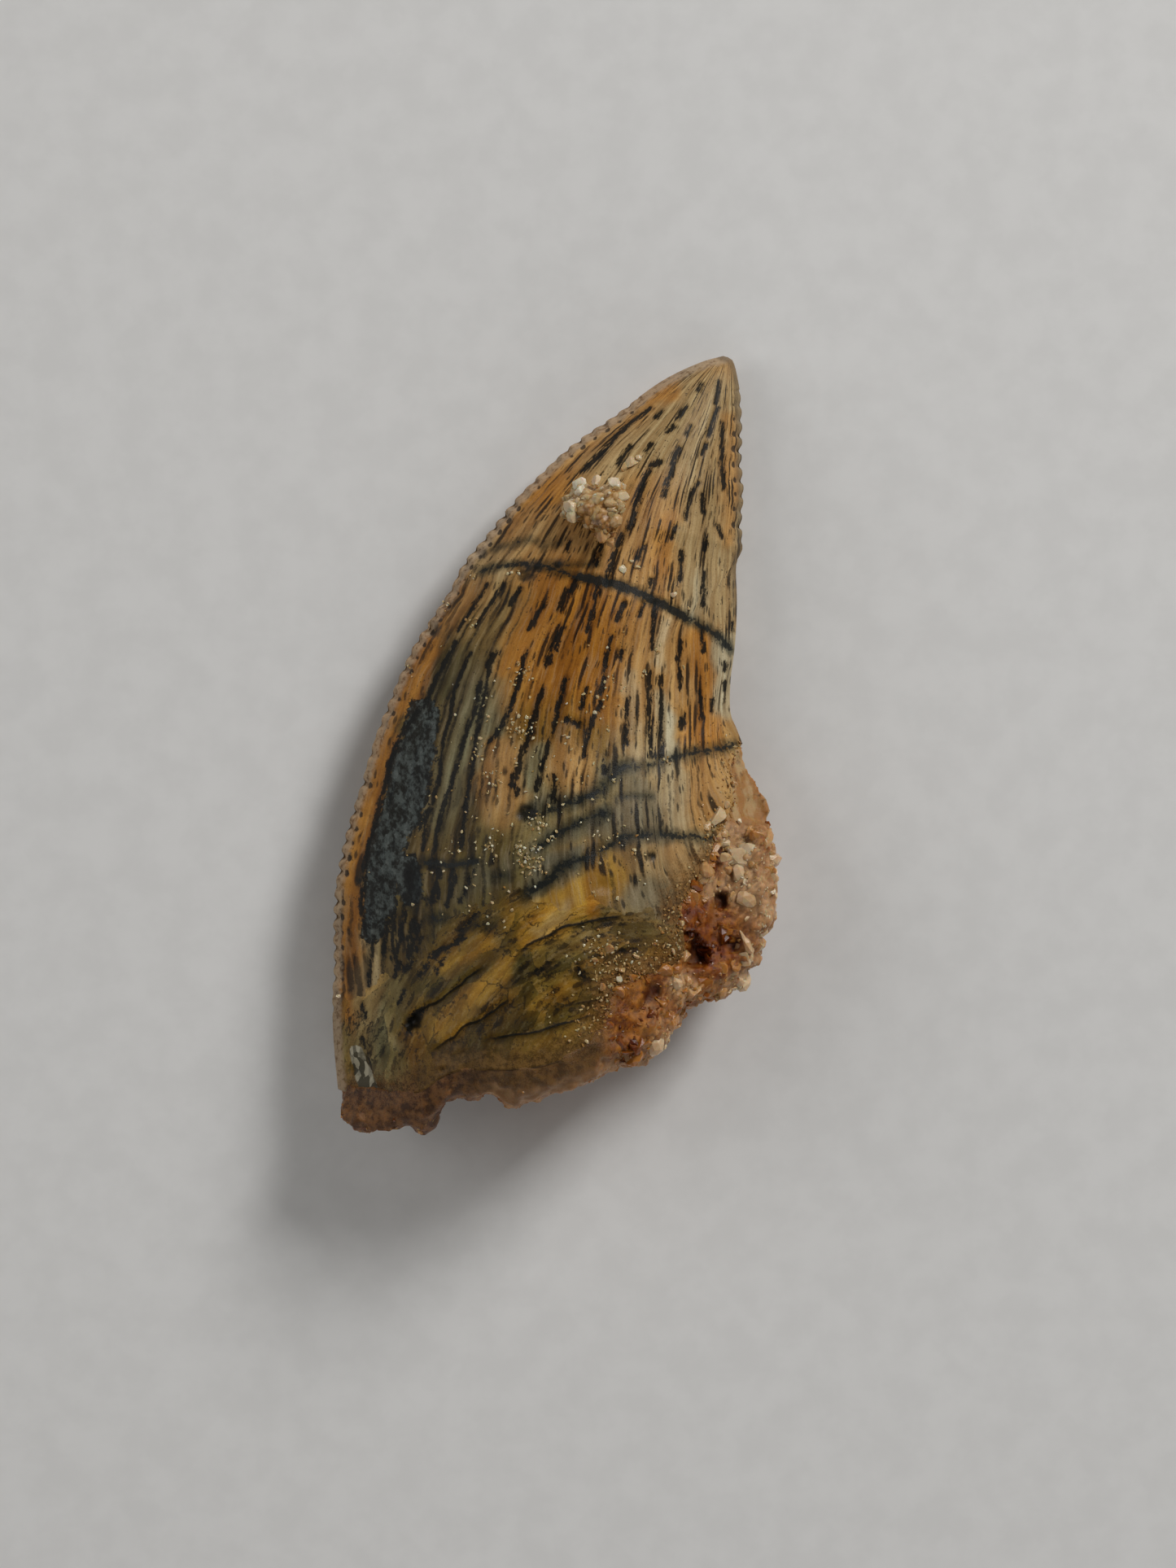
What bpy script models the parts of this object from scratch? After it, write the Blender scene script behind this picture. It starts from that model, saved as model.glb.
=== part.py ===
"""Fossil abelisaurid tooth, lying on its flatter face.

The part is one grown tooth crown, the sandstone that still covers its broken base, and a small lump
of the same sandstone on its upper face. X runs from the front edge (-X) to the rear edge (+X), +Y runs
from the broken base to the tip, and +Z points up. The origin is at the bottom centre of the whole part.
"""

import math

import bmesh
import bpy
import numpy as np
from mathutils import Vector, noise
from mathutils.geometry import delaunay_2d_cdt

# Driving dimensions, in millimetres
MM = 0.001
LENGTH = 23.9
GAP = 0.3
DENTICLE_PITCH = 0.47
DENTICLE_HEIGHT = 0.09
DENTICLE_PROFILE = ((0.0, 1.0), (0.2, 0.25), (0.5, 0.0), (0.8, 0.25))
DENTICLE_FADE_IN = 2.0
DENTICLE_FADE_OUT = 3.0
DENTICLE_LEAST = 0.3
FRONT_DENTICLES_FROM = 2.6
FRONT_PLAIN_END = 1.2
REAR_DENTICLES_FROM = 1.2
REAR_DENTICLES_TO = 6.6
EDGE_HALF_THICKNESS = 0.07
TOP_BULGE = 0.42
UNDER_BULGE = 0.273
BULGE_WIDTH = 22.0
BULGE_POWER = 1.1
BASE_EDGE_HEIGHT = 2.15
TIP_DROP = 1.35
TIP_DROP_POWER = 1.6

# Smooth edge lines of the crown, tip to base, as x and y in millimetres
FRONT_EDGE = [
    (5.16, 11.93), (4.39, 11.70), (3.21, 11.11), (1.84, 10.10), (0.59, 9.24), (-0.39, 8.35),
    (-1.34, 7.38), (-2.24, 6.25), (-2.89, 5.45), (-3.29, 4.63), (-4.01, 3.55), (-4.50, 2.73),
    (-5.14, 1.24), (-5.59, 0.05), (-6.01, -1.38), (-6.39, -2.58), (-6.69, -3.85), (-6.84, -5.23),
    (-6.83, -7.05), (-6.87, -7.83), (-6.83, -9.13), (-6.69, -10.70),
]
REAR_EDGE = [
    (5.16, 11.93), (5.44, 11.80), (5.59, 11.28), (5.71, 10.48), (5.74, 9.40), (5.72, 8.60),
    (5.78, 7.70), (5.72, 6.80), (5.73, 5.90), (5.54, 5.43), (5.56, 4.25), (5.50, 2.98),
    (5.36, 1.88), (5.35, 0.88), (5.53, 0.40), (5.72, -0.10),
]
# The crown's rear edge as it was before the base broke, which sets how the section swells
WHOLE_REAR_EDGE = REAR_EDGE[:-1] + [(6.10, -1.40), (6.60, -3.60), (6.85, -6.00), (6.90, -8.60), (6.80, -12.6)]

# Where the enamel ends against the sandstone, from the front corner to the rear edge
BREAK_LINE = [
    (-6.69, -10.70), (-6.10, -10.85), (-5.10, -10.80), (-4.10, -10.65), (-3.30, -10.10), (-2.60, -9.95),
    (-1.60, -9.90), (-0.70, -9.85), (0.30, -9.55), (1.10, -9.05), (1.55, -8.40), (1.70, -7.65),
    (2.30, -7.15), (3.20, -6.95), (3.85, -6.50), (3.85, -5.80), (3.72, -5.15), (4.20, -4.50),
    (4.60, -3.85), (4.80, -3.15), (5.15, -2.60), (5.42, -1.95), (5.35, -1.20), (5.40, -0.60), (5.72, -0.10),
]
# The sandstone's knobbly outer side, from the rear edge round to the front corner
SANDSTONE_SIDE = [
    (5.96, -0.66), (5.92, -0.90), (6.02, -1.15), (6.22, -1.55), (6.40, -2.05), (6.33, -2.52),
    (6.54, -2.82), (6.52, -3.35), (6.50, -3.85), (6.72, -4.20), (6.83, -4.52), (6.72, -5.00),
    (6.64, -5.50), (6.52, -5.78), (6.28, -5.82), (6.24, -6.20), (6.10, -6.42), (6.16, -6.72),
    (5.94, -6.96), (5.72, -7.12), (5.40, -7.55), (4.60, -7.88), (4.10, -8.00), (3.60, -8.36),
    (3.42, -8.86), (3.22, -9.18), (2.88, -9.36), (2.66, -9.70), (1.90, -9.76), (1.46, -9.94),
    (1.12, -10.24), (0.44, -10.40), (-0.10, -10.66), (-0.48, -10.80), (-1.00, -10.86), (-1.20, -11.10),
    (-1.50, -10.94), (-1.76, -10.60), (-2.32, -10.66), (-2.46, -10.92), (-3.00, -10.80), (-3.54, -11.05),
    (-3.72, -11.45), (-4.04, -11.84), (-4.50, -11.60), (-4.78, -11.88), (-5.40, -11.95), (-6.00, -11.84),
    (-6.35, -11.70), (-6.58, -11.40),
]

# The sandstone lump on the crown's face
LUMP_OUTLINE = [
    (0.55, 7.98), (0.82, 7.98), (1.10, 7.75), (1.90, 7.88), (2.22, 7.50), (2.14, 7.10), (1.98, 6.70),
    (1.75, 6.20), (1.45, 6.02), (1.10, 6.25), (0.85, 6.60), (0.40, 6.70), (0.15, 6.95), (0.30, 7.40),
    (0.48, 7.62),
]
LUMP_HEIGHT = 0.62
LUMP_RIM = 0.12
LUMP_ROUNDING = 0.45
LUMP_GRAIN = 0.5
LUMP_LOWEST_SHARE = 0.6

# Growth ledges, where one layer of enamel ends above the next: points, and the depth of the step
LEDGES = [
    ([(-1.14, -6.43), (-0.84, -6.13), (-0.09, -5.75), (0.41, -5.55), (1.21, -5.38), (2.10, -5.22)], 0.16),
    ([(-4.54, -8.80), (-4.35, -8.40), (-4.09, -8.13), (-3.46, -7.80), (-2.64, -7.15), (-2.09, -6.75)], 0.20),
    ([(-3.84, -9.43), (-3.09, -8.95), (-2.84, -8.63), (-2.09, -8.25), (-1.29, -7.65)], 0.14),
    ([(-2.21, -9.00), (-1.59, -8.88), (-0.59, -8.70), (0.41, -8.43), (1.30, -8.15)], 0.14),
]
LEDGE_FADE = 1.3
LEDGE_END_FADE = 0.6
LEDGE_SPACING = 0.4
LEDGE_HALF_STEP = 0.05

# Pits and chips in the upper face: x, y, radius, depth
PITS = [
    (-0.89, 5.10, 0.45, 0.16),
    (-0.89, -2.23, 0.40, 0.14),
    (-3.80, 3.50, 0.40, 0.16),
    (-4.30, -8.55, 0.45, 0.18),
    (-5.90, -10.0, 0.60, 0.20),
    (1.40, -4.40, 0.40, 0.10),
]

# Sandstone surface
GRAIN_ROUNDING = 1.25
SAND_DIP = 0.35
SAND_RISE = 0.55
SAND_RISE_WIDTH = 1.2
SAND_THINNEST_UP = 1.3
SAND_THINNEST_DOWN = 1.1
SAND_SHOULDER = 0.6
SAND_ROUNDING = 0.7
SAND_BELLY = 0.12
SAND_LUMP_HEIGHT = 0.32
SAND_LUMP_SUNK = 0.5
SAND_LUMP_SIZE = 0.8
SAND_LOWEST = 0.12
SAND_START = 0.35
SAND_END = 0.7
SIDE_WIDTH = 0.05

# Spacing of the mesh points
CROWN_TOP_SPACING = 0.50
CROWN_UNDER_SPACING = 0.75
SAND_SPACING = 0.36
SAND_SIDE_SPACING = 0.32
SAND_SIDE_ROWS = 8
LUMP_SPACING = 0.24
LUMP_SIDE_SPACING = 0.2
PLAIN_EDGE_SPACING = 0.42
CLEAR_OF_OUTLINE = 0.5
CLEAR_OF_CREASES = 0.4
DIRECTION_REACH = 0.05
SHARP_ANGLE = 50

# Colours, as the photograph shows them under a plain light
ENAMEL_COLOUR = (0.30, 0.17, 0.065, 1.0)
SANDSTONE_COLOUR = (0.21, 0.085, 0.03, 1.0)
LUMP_COLOUR = (0.36, 0.24, 0.14, 1.0)
ENAMEL_ROUGHNESS = 0.35
SANDSTONE_ROUGHNESS = 0.85
LUMP_ROUGHNESS = 0.8


def spline(points, step=0.12):
    """A smooth Catmull-Rom line through the points, as rows of x and y."""
    p = np.array(points, float)
    p = np.vstack([2 * p[0] - p[1], p, 2 * p[-1] - p[-2]])
    rows = []
    for a, b, c, d in zip(p, p[1:], p[2:], p[3:]):
        count = max(2, math.ceil(np.linalg.norm(c - b) / step))
        t = (np.arange(count) / count)[:, None]
        curve = 2 * b + (c - a) * t + (2 * a - 5 * b + 4 * c - d) * t**2 + (3 * b - a - 3 * c + d) * t**3
        rows.append(curve / 2)
    return np.vstack(rows + [p[-2:-1]])


def measure(line, q):
    """For each point q: its distance from the line, the length along the line, and its side (+1 is left)."""
    start, run = line[:-1], np.diff(line, axis=0)
    size = np.hypot(run[:, 0], run[:, 1])
    reached = np.concatenate([[0.0], np.cumsum(size)[:-1]])
    away = q[:, None] - start
    share = np.clip((away * run).sum(2) / size**2, 0, 1)
    left = away - share[..., None] * run
    distance = np.hypot(left[..., 0], left[..., 1])
    nearest = distance.argmin(1)
    row = np.arange(len(q))
    turn = run[nearest, 0] * away[row, nearest, 1] - run[nearest, 1] * away[row, nearest, 0]
    return distance[row, nearest], (reached + share * size)[row, nearest], np.sign(turn)


def along(line, lengths, inset=0.0):
    """Points at the given lengths along the line, moved by inset towards its left."""
    size = np.hypot(*np.diff(line, axis=0).T)
    reached = np.concatenate([[0.0], np.cumsum(size)])
    at = np.stack([np.interp(lengths, reached, line[:, k]) for k in (0, 1)], 1)
    further, nearer = np.add(lengths, DIRECTION_REACH), np.subtract(lengths, DIRECTION_REACH)
    ahead = np.stack([np.interp(further, reached, line[:, k]) for k in (0, 1)], 1)
    behind = np.stack([np.interp(nearer, reached, line[:, k]) for k in (0, 1)], 1)
    way = ahead - behind
    way /= np.maximum(np.hypot(way[:, 0], way[:, 1]), 1e-9)[:, None]
    return at + np.stack([-way[:, 1], way[:, 0]], 1) * np.reshape(inset, (-1, 1))


def total(line):
    return float(np.hypot(*np.diff(line, axis=0).T).sum())


def denticled(line, first, last, inward):
    """Lengths along an edge and their inset: several points to a denticle from first to last, else plain."""
    end = total(line)
    lengths, insets = [], []
    s = 0.0
    while s < end - PLAIN_EDGE_SPACING / 2:
        if first <= s < last:
            fade_in = DENTICLE_LEAST + (s - first) / DENTICLE_FADE_IN
            fade_out = DENTICLE_LEAST + (last - s) / DENTICLE_FADE_OUT
            fade = min(1.0, fade_in, fade_out)
            for phase, depth in DENTICLE_PROFILE:
                lengths.append(s + phase * DENTICLE_PITCH)
                insets.append(inward * depth * fade * DENTICLE_HEIGHT)
            s += DENTICLE_PITCH
        else:
            lengths.append(s)
            insets.append(0.0)
            s += PLAIN_EDGE_SPACING
    return lengths, insets


def inside(outline, q):
    """True for each point q that lies inside the closed outline."""
    a, b = outline, np.roll(outline, -1, axis=0)
    above = (a[:, 1] > q[:, None, 1]) != (b[:, 1] > q[:, None, 1])
    rise = np.where(a[:, 1] == b[:, 1], 1.0, b[:, 1] - a[:, 1])
    crossing = a[:, 0] + (q[:, None, 1] - a[:, 1]) / rise * (b[:, 0] - a[:, 0])
    return (above & (q[:, None, 0] < crossing)).sum(1) % 2 == 1


def fill_points(outline, spacing, keep_off=()):
    """A triangular grid of points inside the outline, clear of it and of the lines in keep_off."""
    low, high = outline.min(0), outline.max(0)
    rows = []
    for j, y in enumerate(np.arange(low[1], high[1], spacing * math.sin(math.pi / 3))):
        xs = np.arange(low[0] + (j % 2) * spacing / 2, high[0], spacing)
        rows.append(np.stack([xs, np.full_like(xs, y)], 1))
    q = np.vstack(rows)
    closed = np.vstack([outline, outline[:1]])
    keep = inside(outline, q) & (measure(closed, q)[0] > spacing * CLEAR_OF_OUTLINE)
    for line in keep_off:
        keep &= measure(line, q)[0] > spacing * CLEAR_OF_CREASES
    return q[keep]


front_edge = spline(FRONT_EDGE)
rear_edge = spline(REAR_EDGE)
whole_rear_edge = spline(WHOLE_REAR_EDGE)
break_line = spline(BREAK_LINE)
ledge_lines = [spline(points) for points, depth in LEDGES]


def swell(q):
    """Height of the two edges above the ground, and the bulge above and below them."""
    to_front = measure(front_edge, q)[0]
    to_rear = measure(whole_rear_edge, q)[0]
    width = to_front + to_rear
    share = to_front / np.maximum(width, 1e-6)
    lens = np.maximum(4 * share * (1 - share), 0) ** BULGE_POWER
    bulge = width / (1 + width / BULGE_WIDTH) * lens
    towards_tip = np.clip((q[:, 1] + LENGTH / 2) / LENGTH, 0, 1)
    edge = BASE_EDGE_HEIGHT - TIP_DROP * towards_tip**TIP_DROP_POWER
    return edge, TOP_BULGE * bulge, UNDER_BULGE * bulge


def plain_top(q):
    edge, up, down = swell(q)
    return edge + EDGE_HALF_THICKNESS + up


def crown_top(q):
    """The upper face with its growth ledges, pits and chips."""
    z = plain_top(q)
    for line, (points, depth) in zip(ledge_lines, LEDGES):
        distance, s, side = measure(line, q)
        past = -side * distance
        ends = np.clip(np.minimum(s, total(line) - s) / LEDGE_END_FADE, 0, 1)
        step = np.clip((past + LEDGE_HALF_STEP) / (2 * LEDGE_HALF_STEP), 0, 1)
        z -= depth * ends * step * np.clip(1 - past / LEDGE_FADE, 0, 1)
    for x, y, radius, depth in PITS:
        near = np.hypot(q[:, 0] - x, q[:, 1] - y) / radius
        z -= depth * np.clip(1 - near, 0, 1)
    return z


def crown_under(q):
    """The under face, flat where the tooth rests."""
    edge, up, down = swell(q)
    return np.maximum(0.0, edge - EDGE_HALF_THICKNESS - down)


def lumps(q, size):
    """Rounded lumps between 0 and 1 in space, for points given as x, y and z."""
    cells = (noise.voronoi(Vector(p) / size)[0][0] for p in q)
    return np.clip(1 - np.fromiter(cells, float) * GRAIN_ROUNDING, 0, 1)


def at_height(q, z):
    return np.column_stack([q, np.broadcast_to(z, len(q))])


def lens_solid(name, outline, top_fill, under_fill, top, under, creases=(), wall=None):
    """A closed body: the outline, counterclockwise, filled twice, raised to top and under, and walled.

    wall, where given, is (rows, move): the side is cut into rows of faces, and move shifts their points.
    """
    mesh = bmesh.new()
    sides = []
    for fill, height, up in ((top_fill, top, True), (under_fill, under, False)):
        points = np.vstack([outline, fill] + [c for c in creases if up])
        edges = [(k, (k + 1) % len(outline)) for k in range(len(outline))]
        first = len(outline) + len(fill)
        for crease in creases if up else ():
            edges += [(first + k, first + k + 1) for k in range(len(crease) - 1)]
            first += len(crease)
        flat = delaunay_2d_cdt([Vector(p) for p in points], edges, [], 0, 1e-7, True)
        triangles, origin = np.array(flat[2]), flat[3]
        corner = np.array([tuple(c) for c in flat[0]])
        triangles = triangles[inside(outline, corner[triangles].mean(1))]
        z = height(corner)
        made = [mesh.verts.new(Vector((x, y, h)) * MM) for (x, y), h in zip(corner, z)]
        for triangle in triangles:
            a, b, c = corner[triangle]
            turn = np.cross(b - a, c - a) > 0
            mesh.faces.new([made[k] for k in (triangle if turn == up else triangle[::-1])])
        rim = {source: made[k] for k, sources in enumerate(origin) for source in sources}
        sides.append([rim[k] for k in range(len(outline))])
    upper, lower = sides
    rows, move = wall or (1, None)
    levels = [lower]
    for row in range(1, rows):
        between = np.array([tuple(a.co.lerp(b.co, row / rows)) for a, b in zip(lower, upper)])
        levels.append([mesh.verts.new(p) for p in move(between / MM, row / rows) * MM])
    levels.append(upper)
    for below, above in zip(levels, levels[1:]):
        for k in range(len(outline)):
            n = (k + 1) % len(outline)
            mesh.faces.new((below[k], below[n], above[n], above[k]))
    bmesh.ops.recalc_face_normals(mesh, faces=mesh.faces)
    bmesh.ops.triangulate(mesh, faces=[f for f in mesh.faces if len(f.verts) > 3])
    data = bpy.data.meshes.new(name)
    mesh.to_mesh(data)
    mesh.free()
    data.shade_smooth()
    data.set_sharp_from_angle(angle=math.radians(SHARP_ANGLE))
    return bpy.data.objects.new(name, data)


def material(name, colour, roughness):
    mat = bpy.data.materials.new(name)
    mat.use_nodes = True
    shader = mat.node_tree.nodes["Principled BSDF"]
    shader.inputs["Base Color"].default_value = colour
    shader.inputs["Roughness"].default_value = roughness
    shader.inputs["Metallic"].default_value = 0.0
    mat.diffuse_color = colour
    return mat


def make_crown():
    """The crown: denticles along both cutting edges, and a broken face at the base."""
    front_end = total(front_edge) - FRONT_PLAIN_END
    front = along(front_edge, *denticled(front_edge, FRONT_DENTICLES_FROM, front_end, 1))
    rear = along(rear_edge, *denticled(rear_edge, REAR_DENTICLES_FROM, REAR_DENTICLES_TO, -1))
    steps = np.arange(0, total(break_line) - PLAIN_EDGE_SPACING / 2, PLAIN_EDGE_SPACING)
    base = along(break_line, steps)
    outline = np.vstack([front, base, rear[:0:-1]])
    creases = []
    for line in ledge_lines:
        steps = np.linspace(0, total(line), round(total(line) / LEDGE_SPACING))
        for offset in (-LEDGE_HALF_STEP, LEDGE_HALF_STEP):
            creases.append(along(line, steps, offset))
    top_fill = fill_points(outline, CROWN_TOP_SPACING, ledge_lines)
    under_fill = fill_points(outline, CROWN_UNDER_SPACING)
    crown = lens_solid("crown", outline, top_fill, under_fill, crown_top, crown_under, creases)
    crown.data.materials.append(material("enamel", ENAMEL_COLOUR, ENAMEL_ROUGHNESS))
    return crown


def make_base_sandstone():
    """The sandstone over the whole broken base, thickest at the rear corner."""
    side = spline(SANDSTONE_SIDE)
    inner_steps = np.arange(SAND_START, total(break_line) - SAND_END, PLAIN_EDGE_SPACING)
    inner = along(break_line, inner_steps, -GAP)
    outer = along(side, np.arange(0, total(side), SAND_SIDE_SPACING))
    outline = np.vstack([inner, outer])[::-1]
    outward = np.roll(outline, -1, axis=0) - np.roll(outline, 1, axis=0)
    outward = np.stack([outward[:, 1], -outward[:, 0]], 1) / np.hypot(*outward.T)[:, None]
    outward[measure(side, outline)[0] > SIDE_WIDTH] = 0

    def shoulder(q):
        """1 in the middle, falling to 0 along the outer side."""
        depth = np.clip(measure(side, q)[0] / SAND_ROUNDING, 0, 1)
        return np.sqrt(1 - (1 - depth) ** 2)

    def top(q):
        edge, up, down = swell(q)
        away = np.clip((measure(break_line, q)[0] - GAP) / SAND_RISE_WIDTH, 0, 1)
        full = edge + np.maximum(up, SAND_THINNEST_UP) - SAND_DIP + SAND_RISE * away
        full += SAND_LUMP_HEIGHT * lumps(at_height(q, 5.0), SAND_LUMP_SIZE)
        return full - SAND_SHOULDER * (1 - shoulder(q))

    def under(q):
        edge, up, down = swell(q)
        full = edge - np.maximum(down, SAND_THINNEST_DOWN) + SAND_DIP
        full -= SAND_LUMP_HEIGHT * lumps(at_height(q, 0.0), SAND_LUMP_SIZE)
        return np.maximum(SAND_LOWEST, full + SAND_SHOULDER * (1 - shoulder(q)))

    def knobbly(points, level):
        """Rounds the outer side between its two shoulders and raises lumps on it."""
        out = SAND_BELLY * (1 - (2 * level - 1) ** 2)
        out = out + SAND_LUMP_HEIGHT * (lumps(points, SAND_LUMP_SIZE) - SAND_LUMP_SUNK)
        points[:, :2] += outward * out[:, None]
        return points

    fill = fill_points(outline, SAND_SPACING)
    wall = (SAND_SIDE_ROWS, knobbly)
    sandstone = lens_solid("base_sandstone", outline, fill, fill, top, under, wall=wall)
    sandstone.data.materials.append(material("sandstone", SANDSTONE_COLOUR, SANDSTONE_ROUGHNESS))
    return sandstone


def make_crown_lump():
    """The small lump of sandstone that sticks to the upper face."""
    closed = spline(LUMP_OUTLINE + LUMP_OUTLINE[:1])
    steps = np.arange(0, total(closed) - LUMP_SIDE_SPACING / 2, LUMP_SIDE_SPACING)
    outline = along(closed, steps)[::-1]

    def under(q):
        return crown_top(q) + GAP

    def top(q):
        depth = np.clip(measure(closed, q)[0] / LUMP_ROUNDING, 0, 1)
        dome = np.sqrt(1 - (1 - depth) ** 2)
        rough = LUMP_LOWEST_SHARE + (1 - LUMP_LOWEST_SHARE) * lumps(at_height(q, 0.0), LUMP_GRAIN)
        return under(q) + LUMP_RIM + LUMP_HEIGHT * dome * rough

    fill = fill_points(outline, LUMP_SPACING)
    lump = lens_solid("crown_lump", outline, fill, fill, top, under)
    lump.data.materials.append(material("lump_sandstone", LUMP_COLOUR, LUMP_ROUGHNESS))
    return lump


for old in list(bpy.data.objects):
    bpy.data.objects.remove(old, do_unlink=True)

collection = bpy.data.collections.new("fossil_tooth")
bpy.context.scene.collection.children.link(collection)
for piece in (make_crown(), make_base_sandstone(), make_crown_lump()):
    collection.objects.link(piece)
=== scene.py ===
"""A fossil abelisaurid tooth that lies on its flatter face, with the sandstone that it was found in."""

import math

import bmesh
import bpy
import numpy as np
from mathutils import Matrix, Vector, noise


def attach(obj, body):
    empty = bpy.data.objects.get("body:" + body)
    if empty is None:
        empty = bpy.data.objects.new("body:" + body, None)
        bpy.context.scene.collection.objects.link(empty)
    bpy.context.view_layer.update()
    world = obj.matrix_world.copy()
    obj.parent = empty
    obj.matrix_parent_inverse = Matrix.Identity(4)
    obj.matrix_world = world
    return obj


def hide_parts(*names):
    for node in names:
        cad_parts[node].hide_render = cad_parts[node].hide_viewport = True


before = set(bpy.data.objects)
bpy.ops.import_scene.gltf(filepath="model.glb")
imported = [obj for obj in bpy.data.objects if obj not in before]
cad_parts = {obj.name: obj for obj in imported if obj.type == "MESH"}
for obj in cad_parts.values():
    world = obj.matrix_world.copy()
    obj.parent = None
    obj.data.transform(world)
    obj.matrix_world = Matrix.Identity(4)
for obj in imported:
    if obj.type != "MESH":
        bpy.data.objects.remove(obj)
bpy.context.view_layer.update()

# The crown. One grown tooth of enamel over dentine, curved back and flattened from side to side, with
# denticles down its front edge and down the upper half of its rear edge. Its base broke off before the sand
# covered it. Sizes are in millimetres, in the frame of the solids.
MM = 0.001
LENGTH = 23.9
DENTICLE_PITCH = 0.47
DENTICLE_DEPTH = 0.10
DENTICLE_REACH = 0.24
FRONT_DENTICLES = (2.94, 25.2)
REAR_DENTICLES = (1.26, 6.7)
FRONT_WEAR, REAR_WEAR = 1.0, 2.0
# The dark cell at the foot of each denticle: how far in from the edge, and how wide
FRONT_CELLS, REAR_CELLS = (0.27, 0.09), (0.24, 0.08)
EDGE_HALF_THICKNESS = 0.07
EDGE_ROUNDING = 0.12
TOP_BULGE = 0.42
UNDER_BULGE = 0.273
BULGE_WIDTH = 22.0
BULGE_POWER = 1.1
BASE_EDGE_HEIGHT = 2.15
TIP_DROP = 1.35
TIP_DROP_POWER = 1.6
ROWS = 320
TOP_COLUMNS = 170
UNDER_COLUMNS = 85
FLOW_WIDTH = 12.0
UNDER_FLOW = 40.0
FLOW_STRETCH = (1.0, 0.1, 1.0)
# The growth lines of the lowest third: the centre of their arcs, and the line that they reach up to
GROWTH_CENTRE = (2.9, -11.5)
GROWTH_TOP = [(-6.8, -8.0), (-5.0, -7.1), (-3.5, -5.8), (-1.5, -4.4), (0.5, -4.9), (2.0, -5.3), (5.0, -5.4)]

FRONT_EDGE = [
    (5.16, 11.93), (4.39, 11.70), (3.21, 11.11), (1.84, 10.10), (0.59, 9.24), (-0.39, 8.35),
    (-1.34, 7.38), (-2.24, 6.25), (-2.89, 5.45), (-3.29, 4.63), (-4.01, 3.55), (-4.50, 2.73),
    (-5.14, 1.24), (-5.59, 0.05), (-6.01, -1.38), (-6.39, -2.58), (-6.69, -3.85), (-6.84, -5.23),
    (-6.83, -7.05), (-6.87, -7.83), (-6.83, -9.13), (-6.69, -10.70),
]
REAR_EDGE = [
    (5.16, 11.93), (5.44, 11.80), (5.59, 11.28), (5.71, 10.48), (5.74, 9.40), (5.72, 8.60),
    (5.78, 7.70), (5.72, 6.80), (5.73, 5.90), (5.54, 5.43), (5.56, 4.25), (5.50, 2.98),
    (5.36, 1.88), (5.35, 0.88), (5.53, 0.40), (5.72, -0.10),
]
# The rear edge as it was before the base broke, which sets how the section swells
LOST_REAR_EDGE = [(6.10, -1.40), (6.60, -3.60), (6.85, -6.00), (6.90, -8.60), (6.80, -12.6)]
WHOLE_REAR_EDGE = REAR_EDGE[:-1] + LOST_REAR_EDGE
BREAK_LINE = [
    (-6.69, -10.70), (-6.10, -10.85), (-5.10, -10.80), (-4.10, -10.65), (-3.30, -10.10), (-2.60, -9.95),
    (-1.60, -9.90), (-0.70, -9.85), (0.30, -9.55), (1.10, -9.05), (1.55, -8.40), (1.70, -7.65),
    (2.30, -7.15), (3.20, -6.95), (3.85, -6.50), (3.85, -5.80), (3.72, -5.15), (4.20, -4.50),
    (4.60, -3.85), (4.80, -3.15), (5.15, -2.60), (5.42, -1.95), (5.35, -1.20), (5.40, -0.60), (5.72, -0.10),
]
# Where a plain break would run, which the flow of the enamel follows: start, pull and end of a bend
PLAIN_BREAK = ((-6.69, -10.70), (3.0, -11.8), (5.72, -0.10))

# Growth ledges, where one layer of enamel ends above the next: points, and the depth of the step
LEDGES = [
    ([(-1.14, -6.43), (-0.84, -6.13), (-0.09, -5.75), (0.41, -5.55), (1.21, -5.38), (2.10, -5.22)], 0.12),
    ([(-4.54, -8.80), (-4.35, -8.40), (-4.09, -8.13), (-3.46, -7.80), (-2.64, -7.15), (-2.09, -6.75)], 0.13),
    ([(-3.84, -9.43), (-3.09, -8.95), (-2.84, -8.63), (-2.09, -8.25), (-1.29, -7.65)], 0.10),
    ([(-2.21, -9.00), (-1.59, -8.88), (-0.59, -8.70), (0.41, -8.43), (1.30, -8.15)], 0.10),
    ([(0.41, -7.95), (0.96, -7.83), (1.61, -7.67)], 0.08),
    ([(-3.09, -10.0), (-2.34, -9.60)], 0.07),
    ([(-3.21, -9.57), (-2.46, -9.18)], 0.06),
    ([(-5.9, -9.45), (-5.66, -9.75), (-5.60, -10.4)], 0.12),
]
LEDGE_FADE = 1.0
LEDGE_END_FADE = 0.4
LEDGE_HALF_STEP = 0.05
LEDGE_MARK_DEPTH = 0.08

# Pits and chips in the upper face: x, y, radius, depth, darkness
PITS = [
    (-0.89, 5.10, 0.42, 0.14, 0.9), (-0.55, 5.25, 0.20, 0.08, 1.0), (-0.89, -2.23, 0.36, 0.12, 0.9),
    (-3.86, 3.45, 0.36, 0.16, 1.0), (-4.30, -8.55, 0.34, 0.20, 1.0), (-5.98, -10.05, 0.40, 0.14, 0.0),
    (1.40, -4.40, 0.34, 0.08, 0.0), (2.91, -3.50, 0.16, 0.06, 1.0), (-2.29, 5.80, 0.24, 0.06, 0.9),
    (-5.35, -10.55, 0.26, 0.08, 0.9), (-4.95, -10.5, 0.16, 0.05, 0.8), (-3.38, -9.95, 0.16, 0.10, 0.9),
    (0.05, 5.33, 0.16, 0.06, 1.0), (-2.78, 5.30, 0.14, 0.05, 1.0), (-3.34, 4.50, 0.12, 0.05, 0.9),
]

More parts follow.
